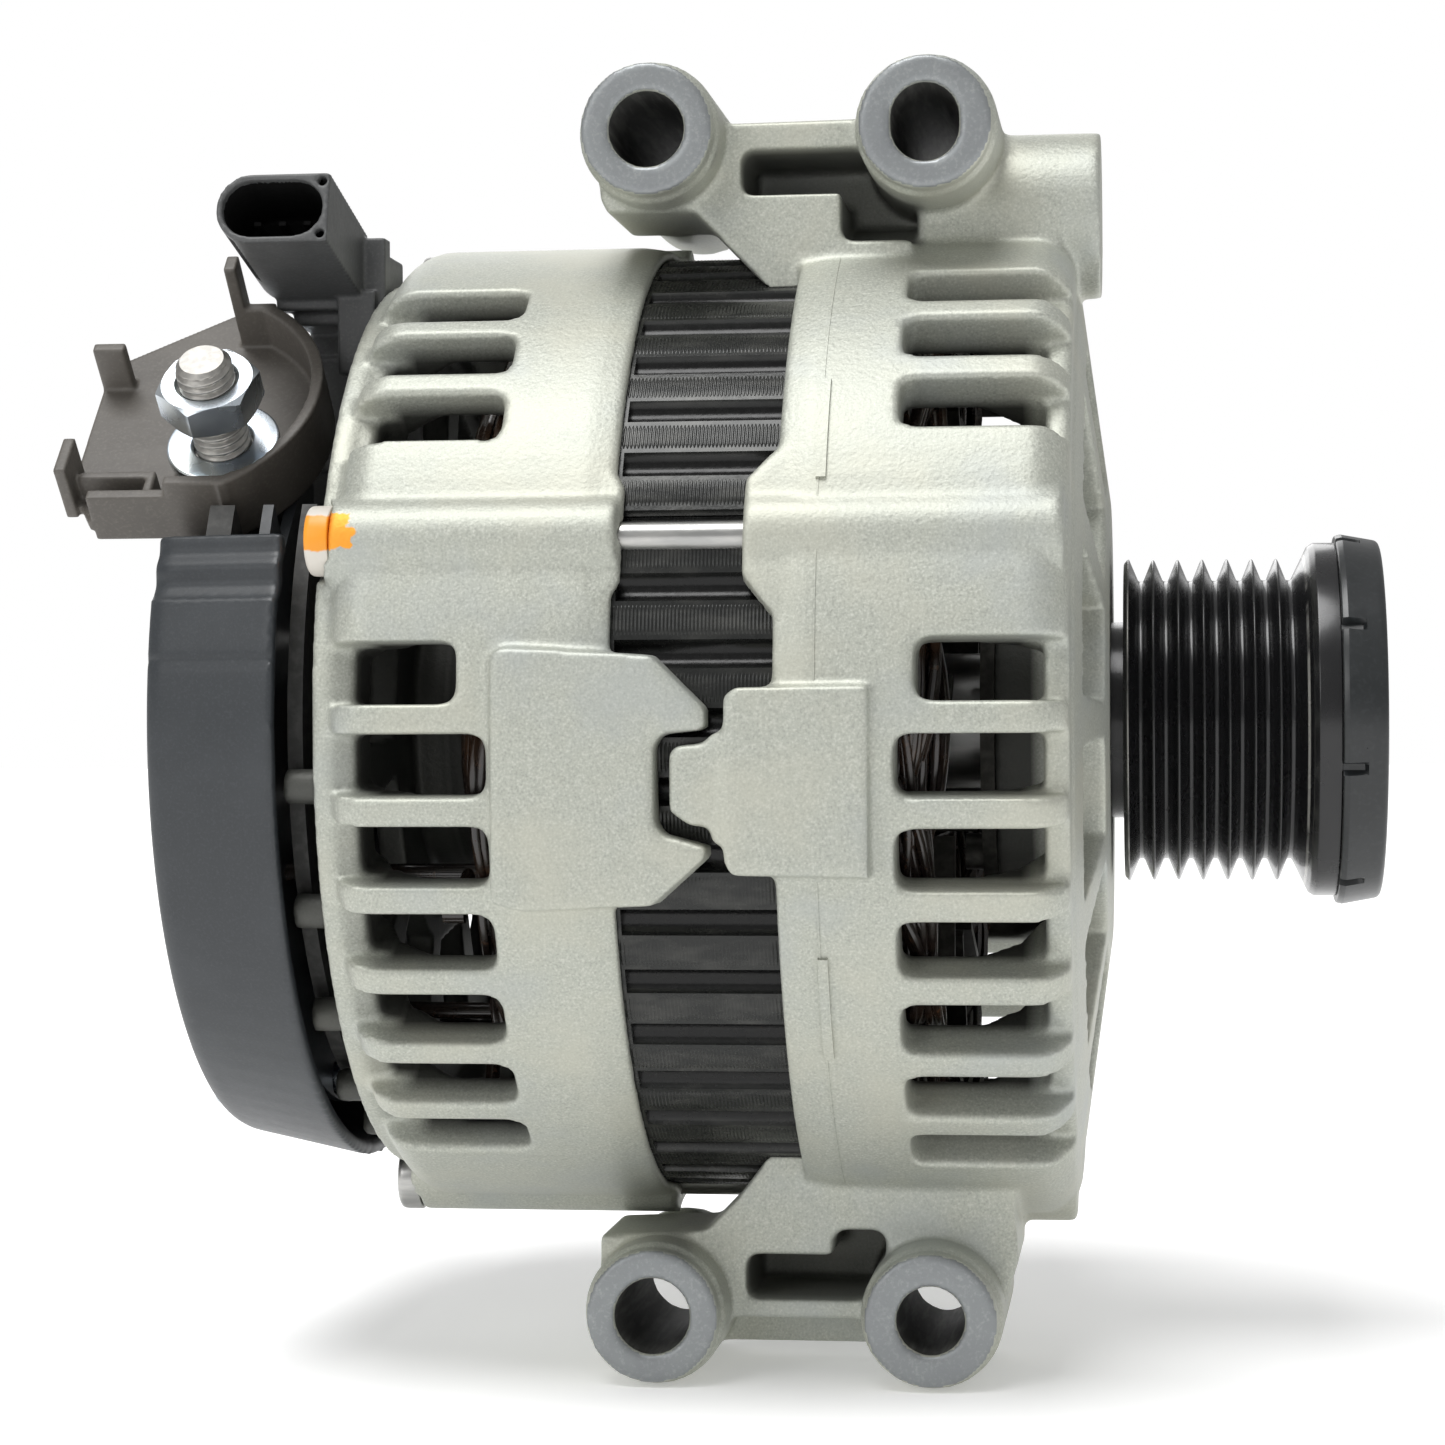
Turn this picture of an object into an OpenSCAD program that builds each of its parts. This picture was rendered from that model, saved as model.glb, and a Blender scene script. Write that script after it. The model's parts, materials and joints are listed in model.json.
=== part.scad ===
// Car alternator with an overrunning seven-groove belt pulley.
// Millimetres. +X runs along the shaft towards the pulley, +Z is up and -Y faces the mounting bolts' heads.
// The origin is on the shaft axis, in the middle plane of the belt grooves.
// Angles round the shaft are counted from -Y towards +Z.

/* [Pulley] */
// Distance between neighbouring belt grooves
groove_pitch = 3.56; // [3.5:0.01:3.6]
// Number of belt grooves
groove_count = 7; // [5:1:8]
// Radius over the ribs between the grooves
rib_tip_r = 23.8; // [23:0.1:25]
// Radius at the bottom of a groove
groove_root_r = 20.4; // [20:0.1:21]
// Radius of the plain ring beside the grooves
pulley_rim_r = 25.8; // [25.5:0.1:26.5]
// Radius of the snap-on cap
cap_r = 27; // [26.6:0.1:28]
// X of the cap's flat end
cap_end_x = 23.6; // [22.5:0.1:25]

/* [Housing] */
// Outer radius of the drive-end bracket
drive_r = 72.2; // [71.5:0.1:73]
// Outer radius of the slip-ring-end bracket
rear_r = 70.6; // [70.4:0.1:71.2]
// X of the drive-end bracket's edge over the stator
drive_edge_x = -57.5; // [-59:0.1:-56]
// X of the slip-ring-end bracket's edge over the stator
rear_edge_x = -79; // [-80:0.1:-78]
// Length of each bracket's outer wall along the shaft
wall_length = 38; // [37:0.1:39]
// Width of one cooling slot
slot_w = 8.2; // [7:0.1:8.5]
// Depth of the open groove round each cooling slot
slot_groove = 5.2; // [4.6:0.1:5.6]
// Angle between neighbouring cooling slots
slot_step = 10; // [10:0.1:10.2]
// Angle of the through bolt that faces the front
bolt_angle_a = 21; // [20:0.5:22]
// Angle of the through bolt at the bottom
bolt_angle_b = -82; // [-84:0.5:-80]
// Radius of the circle of through bolts
bolt_circle_r = 68; // [67.5:0.1:68.5]

/* [Mounting bosses] */
// X of the rear pair of mounting bores
rear_bore_x = -78; // [-79:0.1:-77]
// X of the front pair of mounting bores
front_bore_x = -39.5; // [-40:0.1:-39]
// Height of the mounting bores above and below the shaft
bore_z = 82; // [81.5:0.1:83]
// Y of the machined faces under the bolt heads
boss_face_y = -41.4; // [-42:0.1:-41]
// Y of the far faces of the lower bosses
boss_back_y = -3.9; // [-5:0.1:-2]
// Y of the far faces of the upper bosses
upper_back_y = 20.5; // [12:0.5:21]
// Y of the front face of the block that carries the bosses
block_face_y = -31.5; // [-35:0.5:-30]
// Y of the bottom of the pockets between the bosses
pocket_floor_y = -12; // [-20:0.5:-10]
// Radius of the machined ring round each bore
boss_r = 9.2; // [9:0.1:9.6]
// Radius of the rear pair of bores
rear_bore_r = 5.25; // [5:0.05:5.5]
// Radius of the front bores
front_bore_r = 4.7; // [4.5:0.05:5]
// How much longer than wide the upper front hole is
slot_extra = 1.4; // [0.5:0.1:2]

/* [Stator and rotor] */
// Outer radius of the stator stack
stator_r = 68.6; // [68:0.1:68.8]
// Bore radius of the stator stack
stator_bore_r = 54; // [53.9:0.1:55]
// Length of the stator stack
stator_length = 36; // [35:0.5:37]
// Outer radius of the claw poles
rotor_r = 53.4; // [52.8:0.1:53.5]
// Pole pairs of the rotor
pole_pairs = 6; // [6:1:8]

/* [Rear cover and terminal] */
// Radius of the rear cover at its open edge
cover_r = 65; // [64:0.1:66]
// X of the rear cover's end face
cover_end_x = -144; // [-146:0.1:-143]
// X of the rear cover's open edge
cover_edge_x = -125; // [-126:0.1:-124]
// X of the terminal stud
stud_x = -138.3; // [-139:0.1:-138]
// Angle of the terminal stud round the shaft
stud_angle = 44.3; // [43:0.1:46]
// Distance of the terminal stud's tip from the shaft axis
stud_tip_r = 71.8; // [71:0.1:72]

/* [Hidden] */
$fn = 96;

// Stations along the shaft
drive_end_x = drive_edge_x + wall_length;
rear_end_x = rear_edge_x - wall_length;
bolt_seat_x = rear_end_x + 0.3;
stator_mid_x = -68;
stator_rear_x = stator_mid_x - stator_length / 2;
stator_front_x = stator_mid_x + stator_length / 2;
drive_hub_x = -15;
front_bearing_x = [-31, -17];
rear_bearing_x = [-121, -110];
claw_front_x = -46;
claw_rear_x = -90;
claw_disc = 12;
slip_ring_x = [-137.5, -130];
slip_ring_w = 6;
slip_ring_r = 8;

// Bolts and screws
bolt_rod_r = 2.1;
bolt_head_r = 4.7;
bolt_head_h = 3.3;
screw_r = 1.8;
retainer_screw_r = 26.3;
retainer_screw_tip_x = -25;

// Angles of the cooling slots on the side that shows and on the opposite side
slot_run = [for (i = [0 : 6]) 5.5 - i * slot_step];
slot_group = [for (i = [0 : 2]) 36 + i * slot_step];
slot_angles = concat(slot_run, slot_group);
bolt_angles = [bolt_angle_a, bolt_angle_b, bolt_angle_a + 180, bolt_angle_b + 180];

cover_screw_angles = [-75, -135, 172];
cover_screw_r = 54;
// [Y, Z] of the regulator's screws
regulator_screws_at = [[8.7, 49.2], [-4, 54.6]];
// Angles of the leads from the winding to the rectifier, through the end wall's windows
lead_angles = [-26, -62, -98];
lead_r = 47;

cast = [0.72, 0.72, 0.68];
machined = [0.62, 0.64, 0.66];
lacquer = [0.08, 0.08, 0.08];
black_plastic = [0.13, 0.14, 0.15];
brown_plastic = [0.33, 0.31, 0.29];
steel = [0.6, 0.6, 0.6];
zinc = [0.75, 0.8, 0.84];
copper = [0.6, 0.32, 0.18];
gap = 0.01;

// ---- helpers ----

// Turn a profile of [radius, x] points about the shaft
module spin(points) {
    rotate([0, 90, 0]) rotate_extrude() polygon([for (p = points) [p[0], p[1]]]);
}

// Tube or solid bar along the shaft
module x_tube(x0, x1, outer, inner = 0) {
    translate([x0, 0, 0]) rotate([0, 90, 0]) difference() {
        cylinder(h = x1 - x0, r = outer);
        if (inner > 0) translate([0, 0, -1]) cylinder(h = x1 - x0 + 2, r = inner);
    }
}

// Put children, drawn at -Y, at an angle round the shaft
module at_angle(a) {
    rotate([-a, 0, 0]) children();
}

// Extrude an outline of (X, Z) from y0 to y1
module plate_y(y0, y1) {
    translate([0, y1, 0]) rotate([90, 0, 0]) linear_extrude(y1 - y0) children();
}

// Rod along X, drawn at a distance r in the -Y direction
module x_rod(x0, x1, r, rod_r) {
    translate([x0, -r, 0]) rotate([0, 90, 0]) cylinder(h = x1 - x0, r = rod_r);
}

// Rectangle with rounded corners
module soft_rectangle(x0, x1, y0, y1, r) {
    translate([x0 + r, y0]) square([x1 - x0 - 2 * r, y1 - y0]);
    translate([x0, y0 + r]) square([x1 - x0, y1 - y0 - 2 * r]);
    for (x = [x0 + r, x1 - r], y = [y0 + r, y1 - r]) translate([x, y]) circle(r);
}

// Local frame at the terminal: +Z outward along the stud, +X along the shaft
module at_terminal(distance) {
    translate([stud_x, 0, 0]) at_angle(stud_angle)
        translate([0, -distance, 0]) rotate([90, 0, 0]) children();
}

// ---- brackets ----

// One cooling slot: a window through the wall in an open groove that runs out over the end
module cooling_slot(r, start, short) {
    plate_y(-r - 5, -r + slot_groove)
        soft_rectangle(start + short, wall_length + 12, -slot_w / 2, slot_w / 2, 2.2);
    window_w = slot_w - 0.6;
    plate_y(-r - 5, -54) translate([start + short + 0.3, -window_w / 2])
        square([wall_length - 3.7 - start - short, window_w]);
}

// The outer wall of a bracket, from its edge over the stator at x = 0 to its end;
// the slot next to the near bolt is shorter than the others
module drum_wall(r, start, short) {
    corner = 5.5;
    side = r - corner;
    difference() {
        spin(concat(
            [[stator_r + 0.02, 0], [r - 0.6, 0], [r, 4]],
            [for (a = [0 : 10 : 90]) [side + corner * cos(a), wall_length - corner + corner * sin(a)]],
            [[56, wall_length], [56, wall_length - 4.5], [62, wall_length - 7], [65.5, wall_length - 12],
                [65.5, 8], [stator_r + 0.02, 7.5]]));
        for (side_turn = [0, 180], a = slot_angles) {
            at_angle(a + side_turn) cooling_slot(r, start, a == slot_run[0] ? short : 0);
        }
    }
}

// Boss that a through bolt runs in
module bolt_boss(x0, x1, boss_r) {
    difference() {
        x_rod(x0, x1, bolt_circle_r - 1.5, boss_r);
        x_tube(x0 - 1, x1 + 1, 65);
    }
}

// Lobe on a bracket's edge over the stator, round a through bolt; drawn at -Y
module bolt_lobe(outer) {
    difference() {
        intersection() {
            plate_y(-80, -60) children();
            x_tube(-100, -40, outer);
        }
        x_tube(-101, -39, stator_r + 0.15);
    }
}

// Cast pad on the side of a bracket, cut to clear the stator
module side_pad(y_face) {
    difference() {
        plate_y(y_face, -62) children();
        x_tube(-100, -40, stator_r + 0.02);
    }
}

// Window in an end wall, between two radii, as a sector
module end_window(x0, x1, r0, r1, half_angle) {
    translate([x0, 0, 0]) rotate([0, 90, 0]) linear_extrude(x1 - x0) polygon([
        [r0 * sin(half_angle), -r0 * cos(half_angle)], [r1 * sin(half_angle), -r1 * cos(half_angle)],
        [0, -r1], [-r1 * sin(half_angle), -r1 * cos(half_angle)],
        [-r0 * sin(half_angle), -r0 * cos(half_angle)]
    ]);
}

// Outline of the block that carries the upper pair of bosses
module upper_mount_outline() {
    polygon([[-86.5, 82], [-86.1, 74], [-85, 71.8], [-72.5, 71.7], [-58.5, 57], [-58.5, 45], [-42, 45],
        [-42, 84.6], [-48, 84.5], [-70, 84.2], [-78, 86]]);
}

// Outline of the block that carries the lower pair of bosses
module lower_mount_outline() {
    polygon([[-86.8, -72.2], [-71.7, -71.4], [-66.8, -66.3], [-62, -60], [-58.5, -45], [-29, -45],
        [-28.2, -69], [-27.8, -75], [-30, -82], [-42, -88.6], [-74, -88.6], [-86.8, -80]]);
}

module mount_body() {
    difference() {
        union() {
            difference() {
                plate_y(block_face_y, -8) {
                    upper_mount_outline();
                    lower_mount_outline();
                }
                // pockets between the bosses
                plate_y(-40, pocket_floor_y) {
                    soft_rectangle(-66, -39, 74, 80.2, 1.5);
                    soft_rectangle(-52, -39, 67.4, 78, 1.5);
                    soft_rectangle(-66, -42, -81, -74.8, 1.5);
                    soft_rectangle(-53.6, -46.4, -78, -71.2, 1.5);
                }
                // step along the lower edge
                plate_y(-40, -22) translate([-71, -92]) square([24, 8.4]);
            }
            for (x = [rear_bore_x, front_bore_x], side = [-1, 1]) {
                translate([x, boss_back_y, side * bore_z]) rotate([90, 0, 0])
                    cylinder(h = boss_back_y - boss_face_y - 3.4, r = boss_r + 0.7);
                back_y = side > 0 ? upper_back_y : boss_back_y;
                translate([x, back_y, side * bore_z]) rotate([90, 0, 0])
                    cylinder(h = back_y - boss_face_y, r = boss_r);
            }
            // round boss beside the upper front bore, on a web
            translate([-41.6, -14, 72.4]) rotate([0, 90, 0]) cylinder(h = 25.6, r = 11.8);
            plate_y(-25.7, -8) translate([-41.7, 50]) square([20.2, 22.5]);
        }
        // room for the stator and the inside of the bracket
        x_tube(-95, drive_edge_x + 7.5, stator_r + 0.02);
        x_tube(-60, drive_end_x - 8, 66);
        // room for the other bracket's bolt boss
        at_angle(bolt_angle_b) x_rod(-100, drive_edge_x - 4.5, bolt_circle_r - 1.5, 7);
    }
}

module mounting_bores() {
    for (side = [-1, 1]) {
        translate([rear_bore_x, 23, side * bore_z]) rotate([90, 0, 0]) cylinder(h = 73, r = rear_bore_r);
    }
    translate([front_bore_x, 14, -bore_z]) rotate([90, 0, 0]) cylinder(h = 64, r = front_bore_r);
    // the upper front hole is longer than wide
    plate_y(-50, 23) translate([front_bore_x, bore_z]) {
        for (z = [-slot_extra / 2, slot_extra / 2]) translate([0, z]) circle(front_bore_r);
        translate([-front_bore_r, -slot_extra / 2]) square([2 * front_bore_r, slot_extra]);
    }
}

module drive_end_bracket() {
    color(cast) difference() {
        union() {
            translate([drive_edge_x, 0, 0]) drum_wall(drive_r, 15.6, 2.7);
            // conical end wall and bearing hub
            spin([[57, drive_end_x - 3.5], [62, drive_end_x - 1], [62, drive_end_x + 0.4],
                [32, drive_hub_x], [14.9, drive_hub_x], [14.9, -17], [23.5, -17], [23.5, -31], [29, -31],
                [29, -23.5], [32, -20.5]]);
            for (a = bolt_angles) at_angle(a) {
                bolt_boss(drive_edge_x - 4, drive_end_x - 0.6, 6.7);
                bolt_lobe(drive_r - 0.35) polygon([[-54, -12.6], [-58.2, -11.2], [-61.7, -6.7], [-61.7, 6.7],
                    [-58.2, 11.2], [-54, 12.6]]);
            }
            mount_body();
            side_pad(-73.6) polygon([[-63.6, -18], [-63.6, 3.4], [-62.2, 4.5], [-45, 4.7], [-45, -20],
                [-62.6, -19.7]]);
            side_pad(-73.2) polygon([[-70.7, -3.9], [-69.9, -3], [-66.2, -2.6], [-65.2, -1.4], [-62, -0.8],
                [-62, -16.4], [-65.2, -15.4], [-65.6, -13.4], [-68, -13.3], [-70.7, -11.4]]);
        }
        mounting_bores();
        for (i = [0 : 11]) at_angle(i * 30 + 15) end_window(-26, -10, 36, 54, 11);
        x_tube(-62, drive_edge_x + 7.5, stator_r + 0.01);
        for (a = bolt_angles) at_angle(a)
            x_rod(drive_edge_x - 6, drive_end_x - 12, bolt_circle_r, bolt_rod_r);
        retainer_screw_places() x_rod(-32, retainer_screw_tip_x + 0.5, retainer_screw_r, screw_r);
    }
}

module slip_ring_end_bracket() {
    color(cast) difference() {
        union() {
            translate([rear_edge_x, 0, 0]) mirror([1, 0, 0]) drum_wall(rear_r, 16.3, 3.9);
            // end wall, rear rim and bearing hub with a lip behind the bearing
            spin([[13, -122.5], [22, -122.5], [22, -119.5], [66, -119.5], [66, -117], [64, -113],
                [58, -115.5], [22, -115.5], [22, -108], [18.3, -108], [18.3, -121], [13, -121]]);
            for (a = bolt_angles) at_angle(a) {
                bolt_boss(rear_end_x - 0.8, rear_edge_x + 0.6, 6.2);
                bolt_lobe(rear_r - 0.35) polygon([[-82.5, -9.6], [-78.6, -8.2], [-77.8, -6.6], [-77.8, 6.6],
                    [-78.6, 8.2], [-82.5, 9.6]]);
            }
            side_pad(-73.2) polygon([[-94.2, -23.3], [-94.2, 8.8], [-92.8, 10], [-73, 8.8], [-66, 1.9],
                [-66, -0.9], [-71.7, -1.5], [-72.6, -3], [-72.6, -12.9], [-71.7, -14.4], [-66, -15.9],
                [-66, -17.4], [-73, -23.6], [-90, -24.4]]);
            // posts that the rear cover rests on
            for (i = [0 : 7]) at_angle(-8 - i * 17) x_rod(cover_edge_x + 0.5, -118, 60, 2.4);
        }
        for (i = [0 : 9]) at_angle(i * 36 + 10) end_window(-125, -105, 33, 50.5, 13);
        x_tube(-87, -70, stator_r + 0.01);
        for (a = bolt_angles) at_angle(a) {
            x_rod(rear_end_x - 3, rear_edge_x + 3, bolt_circle_r, bolt_rod_r);
            x_rod(rear_end_x - 9, bolt_seat_x, bolt_circle_r, 5.2);
        }
        for (a = cover_screw_angles) at_angle(a) x_rod(-121, -116, cover_screw_r, 2);
        regulator_screw_places() x_tube(-121, -116, 2);
    }
}

// ---- stator ----

slot_count = 48;

module stator_core() {
    color(lacquer) difference() {
        union() {
            x_tube(stator_rear_x, stator_front_x, stator_r - 1.4, stator_bore_r);
            difference() {
                x_tube(rear_edge_x, drive_edge_x, stator_r, stator_r - 2);
                for (i = [0 : slot_count - 1]) at_angle(i * 360 / slot_count)
                    x_rod(rear_edge_x - 1, drive_edge_x + 1, stator_r + 0.6, 2);
            }
            for (x = [stator_rear_x, drive_edge_x]) x_tube(x, x + 7.5, stator_r, stator_r - 2);
        }
        for (i = [0 : slot_count - 1]) at_angle((i + 0.5) * 360 / slot_count)
            translate([stator_mid_x - 20, -64.5, -1.6]) cube([40, 12, 3.2]);
        for (a = bolt_angles) at_angle(a) x_rod(-90, -46, bolt_circle_r, 3.2);
    }
}

module stator_winding() {
    color(lacquer) {
        x_tube(stator_front_x + 1, -34.5, 64, 55);
        x_tube(-101.5, stator_rear_x - 1, 64, 55);
        for (i = [0 : slot_count - 1]) at_angle((i + 0.5) * 360 / slot_count)
            translate([-101, -64, -1.4]) cube([66, 8.8, 2.8]);
    }
}

module phase_leads() {
    color(copper) for (a = lead_angles) at_angle(a) {
        x_rod(-129, -101.8, lead_r, 1.2);
        translate([-103, -lead_r, 0]) rotate([90, 0, 0]) cylinder(h = 12, r = 1);
        x_rod(-104.4, -101.5, 59, 1.2);
    }
}

module through_bolts() {
    color(steel) for (a = bolt_angles) at_angle(a) {
        x_rod(bolt_seat_x, drive_end_x - 12, bolt_circle_r, bolt_rod_r);
        x_rod(bolt_seat_x - bolt_head_h, bolt_seat_x, bolt_circle_r, bolt_head_r);
    }
}

// ---- bearings ----

module ball_track(x, pitch_r, r) {
    translate([x, 0, 0]) rotate([0, 90, 0]) rotate_extrude() translate([pitch_r, 0]) circle(r);
}

module outer_race(span, outer, pitch_r, ball_r) {
    color(steel) difference() {
        x_tube(span[0], span[1], outer, pitch_r + ball_r * 0.6);
        ball_track((span[0] + span[1]) / 2, pitch_r, ball_r + 0.08);
    }
}

module inner_race(span, inner, pitch_r, ball_r) {
    color(steel) difference() {
        x_tube(span[0], span[1], pitch_r - ball_r * 0.6, inner);
        ball_track((span[0] + span[1]) / 2, pitch_r, ball_r + 0.08);
    }
}

module balls(span, pitch_r, ball_r, count) {
    color(steel) for (i = [0 : count - 1])
        at_angle(i * 360 / count) translate([(span[0] + span[1]) / 2, -pitch_r, 0]) sphere(ball_r);
}

module front_bearing_outer_race() { outer_race(front_bearing_x, 23.5, 16, 4); }
module front_bearing_balls() { balls(front_bearing_x, 16, 4, 8); }
module front_bearing_inner_race() { inner_race(front_bearing_x, 8.5, 16, 4); }
module rear_bearing_outer_race() { outer_race(rear_bearing_x, 17.5, 12.5, 3); }
module rear_bearing_balls() { balls(rear_bearing_x, 12.5, 3, 8); }
module rear_bearing_inner_race() { inner_race(rear_bearing_x, 7.5, 12.5, 3); }

module rear_bearing_sleeve() {
    color(brown_plastic) x_tube(rear_bearing_x[0], rear_bearing_x[1], 18.3, 17.5);
}

module retainer_screw_places() {
    for (a = [45 : 90 : 315]) at_angle(a) children();
}

module bearing_retainer_plate() {
    color(zinc) difference() {
        x_tube(-33, -31, 29, 14.5);
        retainer_screw_places() x_rod(-34, -30, retainer_screw_r, screw_r);
    }
}

module retainer_screws() {
    color(zinc) retainer_screw_places() {
        x_rod(-35.5, -33, retainer_screw_r, 2.6);
        x_rod(-33, retainer_screw_tip_x, retainer_screw_r, screw_r);
    }
}

// ---- rear cover and electronics ----

module cover_opening() {
    // room for the terminal and its shroud
    at_terminal(37) translate([-30, -12, 0]) cube([60, 70, 60]);
    translate([-150, -90, 26.2]) cube([40, 52, 60]);
    // room for the regulator and its plug
    translate([-150, -32, 35]) cube([40, 56, 60]);
}

module rear_cover() {
    wall = 2.2;
    inner_r = cover_r - wall;
    color(black_plastic) difference() {
        spin([[0, cover_end_x], [cover_r - 6, cover_end_x], [cover_r - 4.4, cover_end_x + 0.5],
            [cover_r - 3.6, cover_end_x + 2], [cover_r, cover_edge_x], [inner_r, cover_edge_x],
            [inner_r - 3, cover_end_x + wall], [0, cover_end_x + wall]]);
        cover_opening();
        // air inlets in the end face
        for (i = [0 : 8]) at_angle(-155 + i * 18) end_window(cover_end_x - 2, cover_end_x + 4, 20, 44, 4);
        for (a = cover_screw_angles) at_angle(a) x_rod(cover_end_x - 1, cover_end_x + 4, cover_screw_r, 2);
    }
}

module cover_screws() {
    color(zinc) for (a = cover_screw_angles) at_angle(a) {
        x_rod(cover_end_x - 2.6, cover_end_x, cover_screw_r, 4);
        x_rod(cover_end_x, -116, cover_screw_r, 2);
    }
}

// Flat ring plate that leaves out the top, where the brushes and the plug are
module horseshoe(x0, x1, inner, outer) {
    difference() {
        x_tube(x0, x1, outer, inner);
        translate([x0 - 1, -19, 0]) cube([x1 - x0 + 2, 60, 80]);
        translate([x0 - 1, -26, 32]) cube([x1 - x0 + 2, 60, 80]);
        at_terminal(shroud_floor_r - 2.5) translate([-30, -12, 0]) cube([60, 70, 60]);
        for (a = cover_screw_angles) at_angle(a) x_rod(x0 - 1, x1 + 1, cover_screw_r, 2.6);
    }
}

positive_plate_x = [-138, -134.5];
negative_plate_x = [-125, -122.9];
board_x = [-130.5, -129];
diode_angles = [for (i = [0 : 5]) 15 - i * 37];

module positive_heat_sink() {
    color(cast) difference() {
        union() {
            horseshoe(positive_plate_x[0], positive_plate_x[1], 22, 57);
            at_terminal(39) cylinder(h = 10.5, r = 5.5);
        }
        at_terminal(38) cylinder(h = 20, r = 4);
    }
}

module negative_heat_sink() {
    color(cast) difference() {
        horseshoe(negative_plate_x[0], negative_plate_x[1], 24, 57);
        for (a = lead_angles) at_angle(a) x_rod(-127, -121, lead_r, 3);
    }
}

module positive_diodes() {
    color(steel) for (a = diode_angles) at_angle(a) x_rod(positive_plate_x[1], board_x[0], 39, 5.2);
}

module negative_diodes() {
    color(steel) for (a = diode_angles) at_angle(a) x_rod(board_x[1], negative_plate_x[0], 35, 5.2);
}

module rectifier_board() {
    color(brown_plastic) horseshoe(board_x[0], board_x[1], 26, 57);
}

module regulator_screw_places() {
    for (p = regulator_screws_at) translate([0, p[0], p[1]]) children();
}

plug_tilt = 14;

// Local frame of the plug socket: +Z out of its mouth, +X along the shaft
module at_plug() {
    translate([-131.1, -18, 66.8]) rotate([90 - plug_tilt, 0, 0]) children();
}

module plug_outline(grow = 0) {
    for (x = [-3, 3]) translate([x, 0]) circle(5.1 + grow);
    translate([-3, -5.1 - grow]) square([6, 10.2 + 2 * grow]);
}

brush_w = 5;
brush_d = 7;
brush_low = slip_ring_r + 0.1;
brush_top = 24;
spring_top = 36;

module regulator_housing() {
    color(black_plastic) difference() {
        union() {
            // brush box
            translate([-141.4, -6, 10]) cube([15.4, 12, 28]);
            // electronics body and the arm to the plug
            translate([-141.4, -7, 37.9]) cube([20, 26, 18]);
            translate([-134, -8, 55]) cube([13, 18, 11]);
            translate([-134, -17.9, 58.5]) cube([13, 16, 11]);
            translate([-126.5, -21.5, 51]) cube([5.6, 16, 12]);
            // collar and plug socket
            translate([-136, -20, 60.5]) cube([16.3, 3.6, 10.4]);
            at_plug() linear_extrude(23.5) {
                plug_outline();
                translate([2, -5.1]) square([6.1, 10.2]);
            }
        }
        for (x = slip_ring_x) translate([x - brush_w / 2 - 0.1, -brush_d / 2 - 0.1, 9])
            cube([brush_w + 0.2, brush_d + 0.2, spring_top - 9]);
        at_plug() translate([0, 0, 8.5]) linear_extrude(20) plug_outline(-0.9);
        for (y = [-3.9, 3.9]) at_plug() translate([7, y, 20]) cylinder(h = 5, r = 0.7);
        regulator_screw_places() x_tube(-150, -110, 2);
    }
}

module regulator_heat_plate() {
    color(cast) difference() {
        translate([-143.4, -7, 39]) cube([2, 26, 17]);
        regulator_screw_places() x_tube(-150, -110, 2);
    }
}

module regulator_screws() {
    color(zinc) regulator_screw_places() {
        x_tube(-145.6, -143.4, 3.4);
        x_tube(-143.4, -116, 2);
    }
}

module connector_pins() {
    color(machined) for (x = [-3.6, 0, 3.6])
        at_plug() translate([x - 0.5, -0.3, 8.5]) cube([1, 0.6, 9]);
}

module brush(x) {
    color(lacquer) translate([x - brush_w / 2, -brush_d / 2, brush_low])
        cube([brush_w, brush_d, brush_top - brush_low]);
}

// Coil spring: one tube swept along a helix
module coil_spring(x) {
    turns = 6;
    coil_r = 1.9;
    wire_r = 0.3;
    ring_steps = 12;
    sides = 6;
    rings = turns * ring_steps;
    low = brush_top + wire_r + gap;
    high = spring_top - wire_r - gap;
    points = [for (i = [0 : rings], j = [0 : sides - 1])
        let (a = i * 360 / ring_steps, b = j * 360 / sides, r = coil_r + wire_r * cos(b))
        [x + r * cos(a), r * sin(a), low + (high - low) * i / rings + wire_r * sin(b)]];
    walls = [for (i = [0 : rings - 1], j = [0 : sides - 1])
        let (k = (j + 1) % sides) [i * sides + j, i * sides + k, (i + 1) * sides + k, (i + 1) * sides + j]];
    start = [for (j = [sides - 1 : -1 : 0]) j];
    end = [for (j = [0 : sides - 1]) rings * sides + j];
    color(steel) polyhedron(points, concat([start], walls, [end]));
}

module front_brush() { brush(slip_ring_x[1]); }
module rear_brush() { brush(slip_ring_x[0]); }
module front_brush_spring() { coil_spring(slip_ring_x[1]); }
module rear_brush_spring() { coil_spring(slip_ring_x[0]); }

// ---- charging terminal ----

shroud_floor_r = 50;
shroud_rim_r = 58.5;
shroud_bow_r = 23.3;
shroud_bow_at = [-10.5, 9];
shroud_low_t = -10.5;

module shroud_floor_outline() {
    difference() {
        translate(shroud_bow_at) circle(shroud_bow_r);
        translate([-40, -20]) square([42, 60]);
    }
    polygon([[-22.5, -3], [-18.5, shroud_low_t], [2.2, shroud_low_t], [6, 0], [6, 20], [2.2, 28.5],
        [-5.5, 35], [-20.5, 24.5], [-22.5, 18]]);
}

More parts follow.
